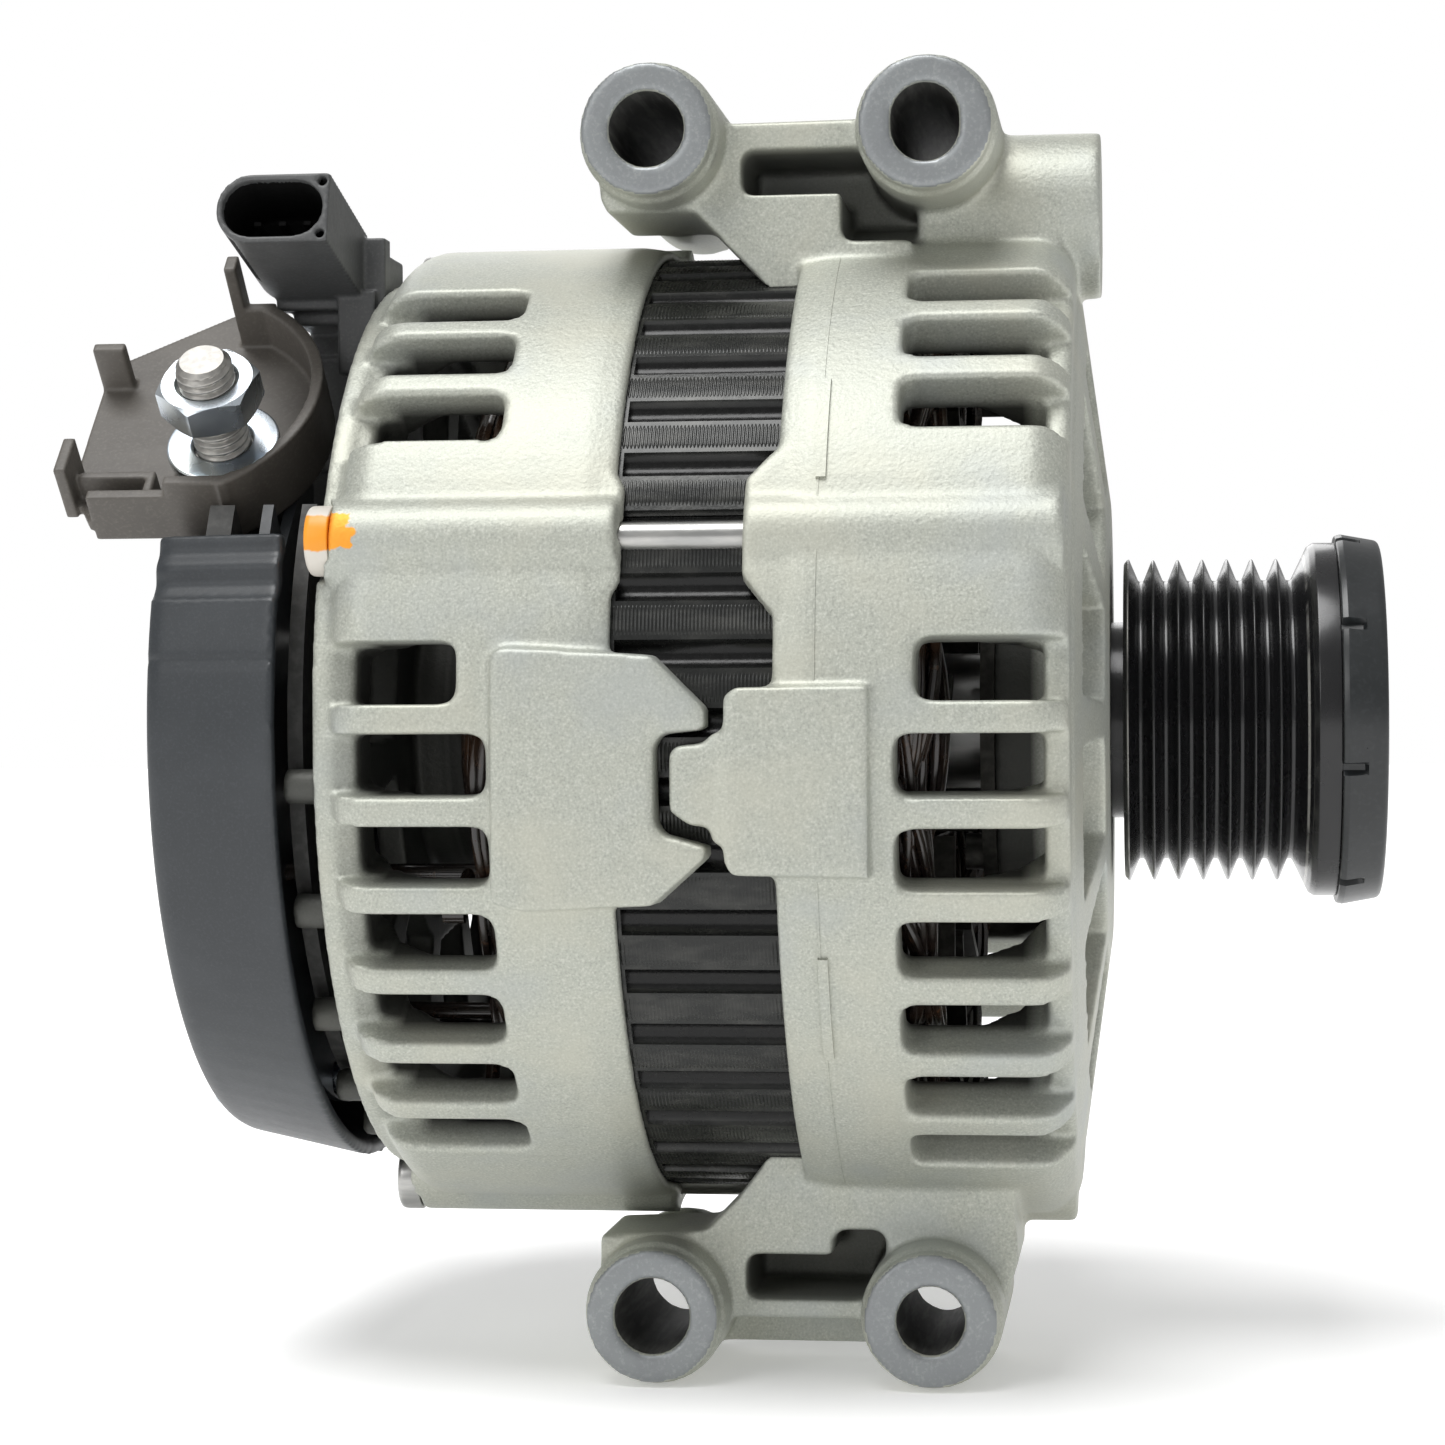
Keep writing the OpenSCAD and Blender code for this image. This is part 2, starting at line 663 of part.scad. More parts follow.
module terminal_shroud() {
    wall = 1.8;
    skirt_r = shroud_floor_r - 2;
    color(brown_plastic) at_terminal(0) difference() {
        union() {
            translate([0, 0, shroud_floor_r]) linear_extrude(1.6) shroud_floor_outline();
            // curved wall towards the bracket
            translate([0, 0, skirt_r]) linear_extrude(shroud_rim_r - skirt_r) difference() {
                translate(shroud_bow_at) circle(shroud_bow_r);
                translate(shroud_bow_at) circle(shroud_bow_r - wall);
                translate([-40, -20]) square([41.5, 60]);
            }
            // straight wall below it, lower beside the clip pocket
            translate([-6.5, shroud_low_t, skirt_r]) cube([9.2, wall, shroud_rim_r - skirt_r]);
            translate([-18, shroud_low_t, skirt_r]) cube([14, wall, 8]);
            // clip pocket in the lower left corner
            translate([-20, -5.6, shroud_floor_r]) cube([11, 1.4, 5.4]);
            translate([-10.4, shroud_low_t, shroud_floor_r]) cube([1.4, 6, 5.4]);
            // tab at the lower left
            translate([-22.5, -8, shroud_floor_r]) cube([wall, 7, 9]);
            // fingers that hold the terminal's cap
            translate([-22.5, 18, shroud_floor_r]) cube([4.8, wall, 9]);
            translate([-3.4, 27.2, shroud_floor_r]) cube([6.2, wall, shroud_rim_r - shroud_floor_r]);
            translate([-3.4, 27.2, shroud_floor_r]) cube([wall, 3.4, 16]);
        }
        translate([0, 0, shroud_floor_r - 3]) cylinder(h = 5.5, r = 7.6);
        translate([0, 0, shroud_floor_r + 2]) cylinder(h = 20, r = 8.4);
    }
}

module terminal_stud() {
    color(zinc) {
        at_terminal(41) cylinder(h = stud_tip_r - 41, r = 4);
        at_terminal(shroud_floor_r - 0.5) cylinder(h = 6, r = 7);
    }
}

module terminal_washer() {
    color(zinc) at_terminal(55.5) difference() {
        cylinder(h = 1.6, r = 8);
        translate([0, 0, -1]) cylinder(h = 4, r = 4.3);
    }
}

module terminal_nut() {
    color(zinc) at_terminal(63.4) difference() {
        rotate([0, 0, 18]) cylinder(h = 4.8, r = 7.5, $fn = 6);
        translate([0, 0, -1]) cylinder(h = 9, r = 4.05);
    }
}

// ---- rotor ----

module rotor_shaft() {
    color(steel) spin([[0, -141.2], [5, -141.2], [5, -123], [7.5, -123], [7.5, -110], [9.5, -110],
        [9.5, -92], [10, -92], [10, -33], [9.5, -33], [9.5, -31], [8.5, -31], [8.5, -17], [8, -17], [8, 15],
        [0, 15]]);
}

// Pole half drawn with its disc at x = 0 to claw_disc and its claws pointing along +X
module claw_pole() {
    claw_length = 40;
    root_w = 24;
    tip_w = 11;
    difference() {
        intersection() {
            union() {
                x_tube(-1, claw_disc, 38);
                for (i = [0 : pole_pairs - 1]) at_angle(i * 360 / pole_pairs) {
                    plate_y(-58, -30) translate([-2, -root_w / 2 + 0.5])
                        square([claw_disc + 1.5, root_w - 1]);
                    plate_y(-60, -43) polygon([[-3, -root_w / 2], [claw_disc, -root_w / 2],
                        [claw_length + 2, -tip_w / 2], [claw_length + 2, tip_w / 2],
                        [claw_disc, root_w / 2], [-3, root_w / 2]]);
                }
            }
            spin([[0, 0], [rotor_r - 2, 0], [rotor_r, 2], [rotor_r, claw_length - 3],
                [rotor_r - 3, claw_length], [0, claw_length]]);
        }
        x_tube(-2, claw_disc + 2, 10);
    }
}

module front_claw_pole() {
    color(steel) translate([claw_front_x, 0, 0]) mirror([1, 0, 0]) claw_pole();
}

module rear_claw_pole() {
    color(steel) translate([claw_rear_x, 0, 0]) at_angle(180 / pole_pairs) claw_pole();
}

module rotor_core() {
    color(steel) x_tube(claw_rear_x + claw_disc, claw_front_x - claw_disc, 27, 10);
}

module coil_bobbin() {
    low = claw_rear_x + claw_disc;
    high = claw_front_x - claw_disc;
    color(brown_plastic) {
        x_tube(low, high, 28.5, 27);
        x_tube(low, low + 1.2, 41.5, 27);
        x_tube(high - 1.2, high, 41.5, 27);
    }
}

module field_coil() {
    color(copper) x_tube(claw_rear_x + claw_disc + 1.2, claw_front_x - claw_disc - 1.2, 41, 28.5);
}

// Fan drawn with its plate at x = 0 to 1.4 and its blades along +X
module fan(blades, reach, turn) {
    x_tube(0, 1.4, 46, 10);
    for (i = [0 : blades - 1]) at_angle(i * 360 / blades)
        translate([0, -39, 0]) rotate([turn, 0, 0]) translate([0, -11, -0.7]) cube([reach, 20, 1.4]);
}

module front_fan() {
    color(steel) translate([claw_front_x, 0, 0]) fan(9, 9.5, 42);
}

module rear_fan() {
    color(steel) translate([claw_rear_x, 0, 0]) mirror([1, 0, 0]) fan(11, 9.5, -42);
}

module slip_ring(x) {
    color(copper) x_tube(x - slip_ring_w / 2, x + slip_ring_w / 2, slip_ring_r, 6.5);
}

module front_slip_ring() { slip_ring(slip_ring_x[1]); }
module rear_slip_ring() { slip_ring(slip_ring_x[0]); }

module slip_ring_insulator() {
    color(brown_plastic) x_tube(-141, -125.5, 6.5, 5);
}

// ---- pulley ----

module pulley_hub() {
    color(lacquer) x_tube(-17, 16, 14.4, 8);
}

module clutch_rollers() {
    color(steel) for (i = [0 : 23]) at_angle(i * 15) x_rod(-6, 6, 15.9, 1.42);
}

module pulley_bushes() {
    color(steel) for (x = [-13, 7]) x_tube(x, x + 6, 17.3, 14.4);
}

module pulley_ring() {
    first = -groove_pitch * groove_count / 2;
    rib_top = 0.25;
    valley = 0.55;
    color(lacquer) difference() {
        spin(concat(
            [[17.4, first - 0.7], [rib_tip_r - 0.6, first - 0.7], [rib_tip_r, first - rib_top]],
            [for (i = [0 : groove_count - 1], p = [
                [rib_tip_r, first + i * groove_pitch + rib_top],
                [groove_root_r, first + (i + 0.5) * groove_pitch - valley],
                [groove_root_r, first + (i + 0.5) * groove_pitch + valley],
                [rib_tip_r, first + (i + 1) * groove_pitch - rib_top]]) p],
            [[pulley_rim_r - 0.5, -first + 0.8], [pulley_rim_r, -first + 1.4], [pulley_rim_r, 17.3],
                [24.3, 17.3], [24.3, 20], [17.4, 20]]));
    }
}

module pulley_cap() {
    rim_x = 17.3;
    color(black_plastic) difference() {
        spin([[0, cap_end_x], [cap_r - 2, cap_end_x], [cap_r - 1.1, cap_end_x - 0.4],
            [cap_r - 0.5, cap_end_x - 1.6], [cap_r, rim_x + 1], [cap_r, rim_x], [24.3, rim_x], [24.3, 21],
            [22, 22], [0, 22]]);
        for (i = [0 : 7]) at_angle(i * 45 - 15)
            translate([rim_x - 1, -cap_r - 2, -0.7]) cube([4.2, 3.4, 1.4]);
    }
}

drive_end_bracket();
slip_ring_end_bracket();
stator_core();
stator_winding();
phase_leads();
through_bolts();
front_bearing_outer_race();
front_bearing_balls();
front_bearing_inner_race();
bearing_retainer_plate();
retainer_screws();
rear_bearing_outer_race();
rear_bearing_balls();
rear_bearing_inner_race();
rear_bearing_sleeve();
rear_cover();
cover_screws();
positive_heat_sink();
negative_heat_sink();
positive_diodes();
negative_diodes();
rectifier_board();
regulator_housing();
regulator_heat_plate();
connector_pins();
regulator_screws();
front_brush();
rear_brush();
front_brush_spring();
rear_brush_spring();
terminal_shroud();
terminal_stud();
terminal_washer();
terminal_nut();
rotor_shaft();
front_claw_pole();
rear_claw_pole();
rotor_core();
field_coil();
coil_bobbin();
front_fan();
rear_fan();
front_slip_ring();
rear_slip_ring();
slip_ring_insulator();
pulley_hub();
clutch_rollers();
pulley_bushes();
pulley_ring();
pulley_cap();
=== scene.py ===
"""Looks of the car alternator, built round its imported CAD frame.

Metres. +X runs along the shaft towards the pulley, +Z is up, -Y faces the mounting bolts' heads.
Angles round the shaft are counted from -Y towards +Z, as in the CAD source.
"""
import json
import math
import random

import bmesh
import bpy
import numpy as np
from mathutils import Matrix, Vector

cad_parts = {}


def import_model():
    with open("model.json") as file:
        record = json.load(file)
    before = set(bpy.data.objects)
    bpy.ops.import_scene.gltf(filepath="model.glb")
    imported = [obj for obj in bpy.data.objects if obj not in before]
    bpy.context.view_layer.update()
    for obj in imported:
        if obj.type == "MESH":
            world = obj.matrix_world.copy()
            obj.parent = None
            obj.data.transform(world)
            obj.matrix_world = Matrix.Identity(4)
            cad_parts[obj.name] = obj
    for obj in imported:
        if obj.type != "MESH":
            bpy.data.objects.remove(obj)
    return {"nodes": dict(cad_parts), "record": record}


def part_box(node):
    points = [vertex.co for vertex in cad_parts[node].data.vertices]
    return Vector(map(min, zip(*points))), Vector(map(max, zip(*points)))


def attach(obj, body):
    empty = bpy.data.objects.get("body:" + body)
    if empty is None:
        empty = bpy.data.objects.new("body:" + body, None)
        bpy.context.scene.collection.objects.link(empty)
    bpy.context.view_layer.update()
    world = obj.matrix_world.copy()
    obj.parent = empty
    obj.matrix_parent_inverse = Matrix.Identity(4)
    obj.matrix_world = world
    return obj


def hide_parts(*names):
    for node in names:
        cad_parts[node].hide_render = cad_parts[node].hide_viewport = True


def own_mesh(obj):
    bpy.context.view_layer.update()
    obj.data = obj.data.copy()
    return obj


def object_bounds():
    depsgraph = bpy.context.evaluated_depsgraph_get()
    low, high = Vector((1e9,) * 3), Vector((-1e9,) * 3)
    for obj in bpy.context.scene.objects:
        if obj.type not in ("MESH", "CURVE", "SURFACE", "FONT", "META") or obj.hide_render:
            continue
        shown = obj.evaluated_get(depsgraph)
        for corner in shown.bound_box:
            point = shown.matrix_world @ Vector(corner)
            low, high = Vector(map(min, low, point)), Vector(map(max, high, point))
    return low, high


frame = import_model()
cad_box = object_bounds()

MM = 0.001
HOUSING, PULLEY = "housing", "pulley"
SLOT_OF = {part["node"]: part["material_slot"] for part in frame["record"]["subparts"]}
MOUNTS = {mount["name"]: mount for mount in frame["record"]["mounts"]}
random.seed(7)


# ---------- dimensions, from the frame ----------

def box_x(node):
    """Lowest and highest X of a CAD node."""
    low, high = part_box(node)
    return low[0], high[0]


def box_r(node):
    """Outer radius of a round CAD node that turns about the shaft."""
    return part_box(node)[1][2]


PULLEY_X = box_x("pulley_ring")
CAP_X = box_x("pulley_cap")
CAP_R = box_r("pulley_cap")
WINDING_X = box_x("stator_winding")
STATOR_X = box_x("stator_core")
STATOR_R = box_r("stator_core")
BOLT_ANGLES = [21, -82, 201, 98]
BOLT_CIRCLE = 68 * MM
STATOR_SLOTS = 48
DRUM_R = 72.2 * MM
NEAR_BOLT = Vector((0, -BOLT_CIRCLE * math.cos(math.radians(BOLT_ANGLES[0])),
                    BOLT_CIRCLE * math.sin(math.radians(BOLT_ANGLES[0]))))
BOSS_END_X = -117.8 * MM
# the stretch of the stator that shows between the brackets' edges
STATOR_SHOWS_X = (-78.9 * MM, -57.6 * MM)
# the cast wall between the brackets' insides and their outsides, and where the insides end: the bounds
# of the painted shade inside the housing
CAST_WALL_R = (65.8 * MM, 68.6 * MM)
DRIVE_INSIDE_X = -24 * MM
REAR_INSIDE_X = -112 * MM
# the pockets cast between the mounting bosses, whose backs get painted shade
POCKET_X = (-66 * MM, -42 * MM)
POCKET_Z = (67.4 * MM, 80.6 * MM)
MOULD_LINE_X = (-52.2 * MM, -51.8 * MM)
MOULD_MARK_X = (-52.4 * MM, -50.9 * MM)
MOULD_MARK_ANGLES = (32.5, -31.6)
# pulley
RIB_PITCH, RIBS = 3.56 * MM, 7
RIB_TIP_R, RIB_ROOT_R = 23.8 * MM, 20.4 * MM
FLANGE_R = 25.8 * MM
CAP_SEAT_R, PULLEY_BORE_R = 24.3 * MM, 17.4 * MM
CAP_RIM_X = 17.3 * MM
# charging terminal, as distances out from the shaft's axis
COLLAR_OUT = (49.5 * MM, 55.5 * MM)
WASHER_TOP_OUT = 57.1 * MM
NUT_OUT = (63.4 * MM, 68.2 * MM)
STUD_TIP_OUT = 71.8 * MM
# heights of the rear cover's crease and of its two bands
CREASE_Z, BANDS_Z, BAND_HEIGHT = 8.6 * MM, 17.2 * MM, 4.55 * MM
STUD_ANGLE = math.radians(44.3)
STUD_X = MOUNTS["charging_stud"]["pos_m"][0]
STUD_OUT = Vector(MOUNTS["charging_stud"]["axis"])
STUD_UP = Vector((0, math.sin(STUD_ANGLE), math.cos(STUD_ANGLE)))


# ---------- materials ----------

class Shader:
    """A node material: short ways to add the procedural detail that its finish needs."""

    def __init__(self, name, color, metallic=0.0, roughness=0.5, **sockets):
        self.material = bpy.data.materials.new(name)
        self.material.use_nodes = True
        self.tree = self.material.node_tree
        self.bsdf = self.tree.nodes["Principled BSDF"]
        self.color = (*color, 1)
        self.bsdf.inputs["Base Color"].default_value = self.color
        self.bsdf.inputs["Metallic"].default_value = metallic
        self.bsdf.inputs["Roughness"].default_value = roughness
        for socket, value in sockets.items():
            self.bsdf.inputs[socket.replace("_", " ")].default_value = value
        self.place = self.add("ShaderNodeTexCoord").outputs["Object"]
        self.normal = None

    def add(self, kind, **settings):
        node = self.tree.nodes.new(kind)
        for key, value in settings.items():
            setattr(node, key, value)
        return node

    def link(self, source, target):
        self.tree.links.new(source, target)

    def noise(self, scale, detail=3.0, roughness=0.55, stretch=(1, 1, 1)):
        """A noise pattern's strength, 0 to 1; scale is in patterns a metre."""
        mapping = self.add("ShaderNodeMapping")
        mapping.inputs["Scale"].default_value = stretch
        self.link(self.place, mapping.inputs["Vector"])
        node = self.add("ShaderNodeTexNoise")
        node.inputs["Scale"].default_value = scale
        node.inputs["Detail"].default_value = detail
        node.inputs["Roughness"].default_value = roughness
        self.link(mapping.outputs["Vector"], node.inputs["Vector"])
        return node.outputs["Fac"]

    def math(self, operation, a, b=None, clamp=False):
        node = self.add("ShaderNodeMath", operation=operation, use_clamp=clamp)
        for socket, value in zip(node.inputs, (a, b)):
            if value is None:
                continue
            if isinstance(value, (int, float)):
                socket.default_value = value
            else:
                self.link(value, socket)
        return node.outputs[0]

    def ramp(self, value, low, high, clamp=True):
        """Value mapped so that low gives 0 and high gives 1."""
        node = self.add("ShaderNodeMapRange", clamp=clamp)
        node.inputs["From Min"].default_value = low
        node.inputs["From Max"].default_value = high
        self.link(value, node.inputs["Value"])
        return node.outputs["Result"]

    def mix(self, factor, other, strength=1.0):
        """Blend another colour over what the base colour is so far."""
        node = self.add("ShaderNodeMix", data_type="RGBA")
        self.link(self.math("MULTIPLY", factor, strength, clamp=True), node.inputs[0])
        base = self.bsdf.inputs["Base Color"]
        if base.is_linked:
            self.link(base.links[0].from_socket, node.inputs[6])
        else:
            node.inputs[6].default_value = self.color
        node.inputs[7].default_value = (*other, 1)
        self.link(node.outputs[2], base)

    def rough(self, value, low, high):
        """Roughness from low to high as value goes from 0 to 1."""
        node = self.add("ShaderNodeMapRange")
        node.inputs["To Min"].default_value = low
        node.inputs["To Max"].default_value = high
        self.link(value, node.inputs["Value"])
        self.link(node.outputs["Result"], self.bsdf.inputs["Roughness"])

    def bump(self, height, depth, strength=1.0):
        """Relief of that depth in metres."""
        node = self.add("ShaderNodeBump")
        node.inputs["Distance"].default_value = depth
        node.inputs["Strength"].default_value = strength
        self.link(height, node.inputs["Height"])
        if self.normal:
            self.link(self.normal, node.inputs["Normal"])
        self.normal = node.outputs["Normal"]
        self.link(self.normal, self.bsdf.inputs["Normal"])

    def split(self):
        """X, Y and Z of the surface point."""
        node = self.add("ShaderNodeSeparateXYZ")
        self.link(self.place, node.inputs[0])
        return node.outputs

    def radius(self):
        """Distance of the surface point from the shaft's axis."""
        _, y, z = self.split()
        squares = self.math("ADD", self.math("POWER", y, 2), self.math("POWER", z, 2))
        return self.math("SQRT", squares)


def cast_aluminium(name="cast_aluminium"):
    """Bead-blasted casting: pale grains on a warm grey, dull, with painted shade that makes it dark
    inside the housing and at the backs of the pockets between the bosses.
    """
    s = Shader(name, (0.44, 0.455, 0.4), metallic=0.45, roughness=0.5)
    grain = s.noise(2900, 2)
    patches = s.noise(50, 3)
    s.mix(s.ramp(grain, 0.52, 0.7), (0.66, 0.67, 0.61), 0.5)
    s.mix(s.ramp(grain, 0.46, 0.3), (0.27, 0.275, 0.25), 0.5)
    s.mix(s.ramp(patches, 0.5, 0.66), (0.52, 0.515, 0.43), 0.45)
    s.mix(s.ramp(patches, 0.46, 0.32), (0.4, 0.425, 0.42), 0.45)
    x, y, z = s.split()
    radius = s.radius()
    # painted shade: the housing's inside, within the cast wall and between the ends' insides, darkened
    # nearly to black
    inside = s.math("MULTIPLY", s.ramp(x, DRIVE_INSIDE_X, DRIVE_INSIDE_X - 2 * MM),
                    s.ramp(x, REAR_INSIDE_X, REAR_INSIDE_X + 2 * MM))
    inside = s.math("MULTIPLY", inside, s.ramp(radius, CAST_WALL_R[1], CAST_WALL_R[0]))
    s.mix(inside, (0.03, 0.03, 0.027), 0.95)
    # painted shade: the rear end's inside, past the fins' ends, darkened as well
    s.mix(s.math("MULTIPLY", s.ramp(x, -109 * MM, -111 * MM), s.ramp(radius, 66 * MM, 64.5 * MM)),
          (0.04, 0.04, 0.036), 0.9)
    # painted shade: the backs of the pockets between the bosses, darkened
    height = s.math("ABSOLUTE", z)
    pocket = s.math("MULTIPLY", s.ramp(height, POCKET_Z[0] - 1 * MM, POCKET_Z[0]),
                    s.ramp(height, POCKET_Z[1] + 1 * MM, POCKET_Z[1]))
    pocket = s.math("MULTIPLY", pocket,
                    s.math("MULTIPLY", s.ramp(x, POCKET_X[0] - 1.4 * MM, POCKET_X[0]),
                           s.ramp(x, POCKET_X[1] + 2 * MM, POCKET_X[1])))
    s.mix(s.math("MULTIPLY", pocket, s.ramp(y, -31 * MM, -27 * MM)), (0.06, 0.06, 0.055), 0.7)
    s.rough(grain, 0.4, 0.6)
    s.bump(s.noise(1500, 3), 0.12 * MM, 0.6)
    s.bump(s.noise(260, 2), 0.12 * MM, 0.3)
    return s


def orange_paint_on_casting():
    """Cast aluminium with the inspection dab beside the near bolt's head."""
    s = cast_aluminium("cast_aluminium_dabbed")
    x, y, z = s.split()
    ragged = s.math("MULTIPLY", s.math("SUBTRACT", s.noise(380, 4), 0.5), 1.3)
    across = s.math("MULTIPLY", s.math("SUBTRACT", x, BOSS_END_X), 1 / (4.2 * MM))
    up = s.math("MULTIPLY", s.math("SUBTRACT", z, NEAR_BOLT.z + 1.2 * MM), 1 / (2.4 * MM))
    outside = s.math("MAXIMUM", s.math("ABSOLUTE", across), s.math("ABSOLUTE", up))
    inside = s.ramp(s.math("ADD", outside, ragged), 1.05, 0.95)
    inside = s.math("MULTIPLY", inside, s.ramp(y, -60 * MM, -61 * MM))
    s.mix(inside, (0.9, 0.36, 0.02), 0.96)
    return s


def machined_aluminium():
    """The bosses' ends, cut bright and dulled with age."""
    s = Shader("machined_aluminium", (0.27, 0.285, 0.29), metallic=0.6, roughness=0.42)
    s.mix(s.ramp(s.noise(1900, 2), 0.5, 0.75), (0.42, 0.43, 0.43), 0.5)
    s.mix(s.ramp(s.noise(120, 3), 0.45, 0.65), (0.24, 0.25, 0.26), 0.5)
    s.rough(s.noise(700, 3), 0.34, 0.52)
    s.bump(s.noise(1700, 2), 0.06 * MM, 0.5)
    return s


def bore_wall_painted_shade():
    """Painted shade: the walls of the mounting bores, which see little light, coloured near-black."""
    s = Shader("bore_wall_painted_shade", (0.05, 0.05, 0.047), roughness=0.7, Specular_IOR_Level=0.15)
    s.mix(s.ramp(s.noise(900, 2, stretch=(1, 0.1, 1)), 0.45, 0.7), (0.14, 0.14, 0.13), 0.6)
    s.rough(s.noise(700, 3), 0.6, 0.8)
    s.bump(s.noise(900, 2, stretch=(1, 0.1, 1)), 0.04 * MM, 0.4)
    return s


def heat_sink_painted_shade():
    """The rectifier's plates, dull, coloured near-black as painted shade from the cover."""
    s = Shader("heat_sink_painted_shade", (0.05, 0.05, 0.048), metallic=0.3, roughness=0.6)
    s.mix(s.ramp(s.noise(700, 3), 0.45, 0.7), (0.1, 0.1, 0.095), 0.6)
    s.rough(s.noise(500, 3), 0.5, 0.7)
    s.bump(s.noise(1200, 2), 0.04 * MM, 0.4)
    return s


def socket_shade():
    """Painted shade: the inside of the plug socket and its pins, in deep shade."""
    s = Shader("socket_shade", (0.006, 0.006, 0.006), roughness=0.7, Specular_IOR_Level=0.15)
    s.mix(s.ramp(s.noise(1500, 2), 0.5, 0.75), (0.012, 0.012, 0.012), 0.5)
    s.rough(s.noise(600, 3), 0.6, 0.8)
    s.bump(s.noise(2000, 2), 0.03 * MM, 0.4)
    return s


def lacquered_steel():
    """Black lacquer over the stator's laminations, with painted shade down in the grooves."""
    s = Shader("lacquered_steel", (0.02, 0.021, 0.02), metallic=0.4, roughness=0.28)
    s.mix(s.ramp(s.noise(500, 3, stretch=(0.3, 1, 1)), 0.45, 0.7), (0.06, 0.06, 0.055), 0.6)
    # painted shade: near-black down in the grooves between the ribs
    s.mix(s.ramp(s.radius(), STATOR_R - 0.3 * MM, STATOR_R - 1.0 * MM), (0.003, 0.003, 0.003), 0.97)
    s.rough(s.noise(900, 2), 0.18, 0.34)
    s.bump(s.noise(1400, 2), 0.05 * MM, 0.4)
    return s


def lacquered_copper():
    """The windings' enamelled wire under dark varnish."""
    s = Shader("lacquered_copper", (0.018, 0.013, 0.011), metallic=0.0, roughness=0.22,
               Coat_Weight=0.5, Coat_Roughness=0.12)
    s.mix(s.ramp(s.noise(130, 3), 0.5, 0.7), (0.06, 0.03, 0.015), 0.7)
    s.mix(s.ramp(s.noise(600, 2), 0.62, 0.74), (0.12, 0.06, 0.03), 0.4)
    s.rough(s.noise(400, 2), 0.16, 0.34)
    s.bump(s.noise(500, 2), 0.04 * MM, 0.3)
    return s


def metal(name, color, light, roughness=(0.25, 0.4), grain=900, stretch=(1, 1, 1), relief=0.03):
    s = Shader(name, color, metallic=1.0, roughness=roughness[0])
    s.mix(s.ramp(s.noise(grain, 3, stretch=stretch), 0.42, 0.7), light, 0.6)
    s.rough(s.noise(grain / 2, 3, stretch=stretch), *roughness)
    s.bump(s.noise(grain, 2, stretch=stretch), relief * MM, 0.3)
    return s


def zinc_plate():
    s = metal("zinc_plate", (0.62, 0.68, 0.74), (0.82, 0.86, 0.9), (0.2, 0.34), 260, relief=0.02)
    s.mix(s.ramp(s.noise(90, 2), 0.5, 0.66), (0.72, 0.74, 0.66), 0.45)
    s.mix(s.ramp(s.noise(150, 2), 0.52, 0.7), (0.42, 0.55, 0.74), 0.35)
    return s


def plastic(name, color, light, roughness=(0.35, 0.5), grain=2200, relief=0.035, specular=0.5):
    s = Shader(name, color, roughness=roughness[0], Specular_IOR_Level=specular)
    s.mix(s.ramp(s.noise(grain, 2), 0.5, 0.75), light, 0.45)
    s.mix(s.ramp(s.noise(70, 3), 0.45, 0.7), light, 0.35)
    s.rough(s.noise(grain / 3, 3), *roughness)
    s.bump(s.noise(grain, 2), relief * MM, 0.45)
    return s


def pulley_black():
    """Black finish, worn bright where the belt rubs the ribs' tips."""
    s = Shader("pulley_black", (0.012, 0.012, 0.013), metallic=0.3, roughness=0.24,
               Coat_Weight=0.3, Coat_Roughness=0.15)
    worn = s.ramp(s.radius(), 23.55 * MM, 23.74 * MM)
    worn = s.math("MULTIPLY", worn, s.ramp(s.radius(), 24.4 * MM, 24.2 * MM))
    patchy = s.ramp(s.noise(95, 3), 0.38, 0.55)
    s.mix(s.math("MULTIPLY", worn, patchy), (0.5, 0.49, 0.46), 0.85)
    s.rough(s.noise(300, 3), 0.18, 0.34)
    s.bump(s.noise(900, 2), 0.03 * MM, 0.3)
    return s


def orange_bolt_head():
    s = Shader("orange_bolt_head", (0.87, 0.33, 0.02), roughness=0.4)
    z = s.split()[2]
    ragged = s.math("MULTIPLY", s.math("SUBTRACT", s.noise(350, 3), 0.5), 1.6 * MM)
    height = s.math("SUBTRACT", s.math("ADD", z, ragged), NEAR_BOLT.z + 0.9 * MM)
    bare = s.ramp(s.math("ABSOLUTE", height), 2.2 * MM, 2.45 * MM)
    s.mix(bare, (0.66, 0.65, 0.6), 0.95)
    s.rough(s.noise(500, 3), 0.32, 0.5)
    s.bump(s.noise(500, 3), 0.08 * MM, 0.4)
    return s


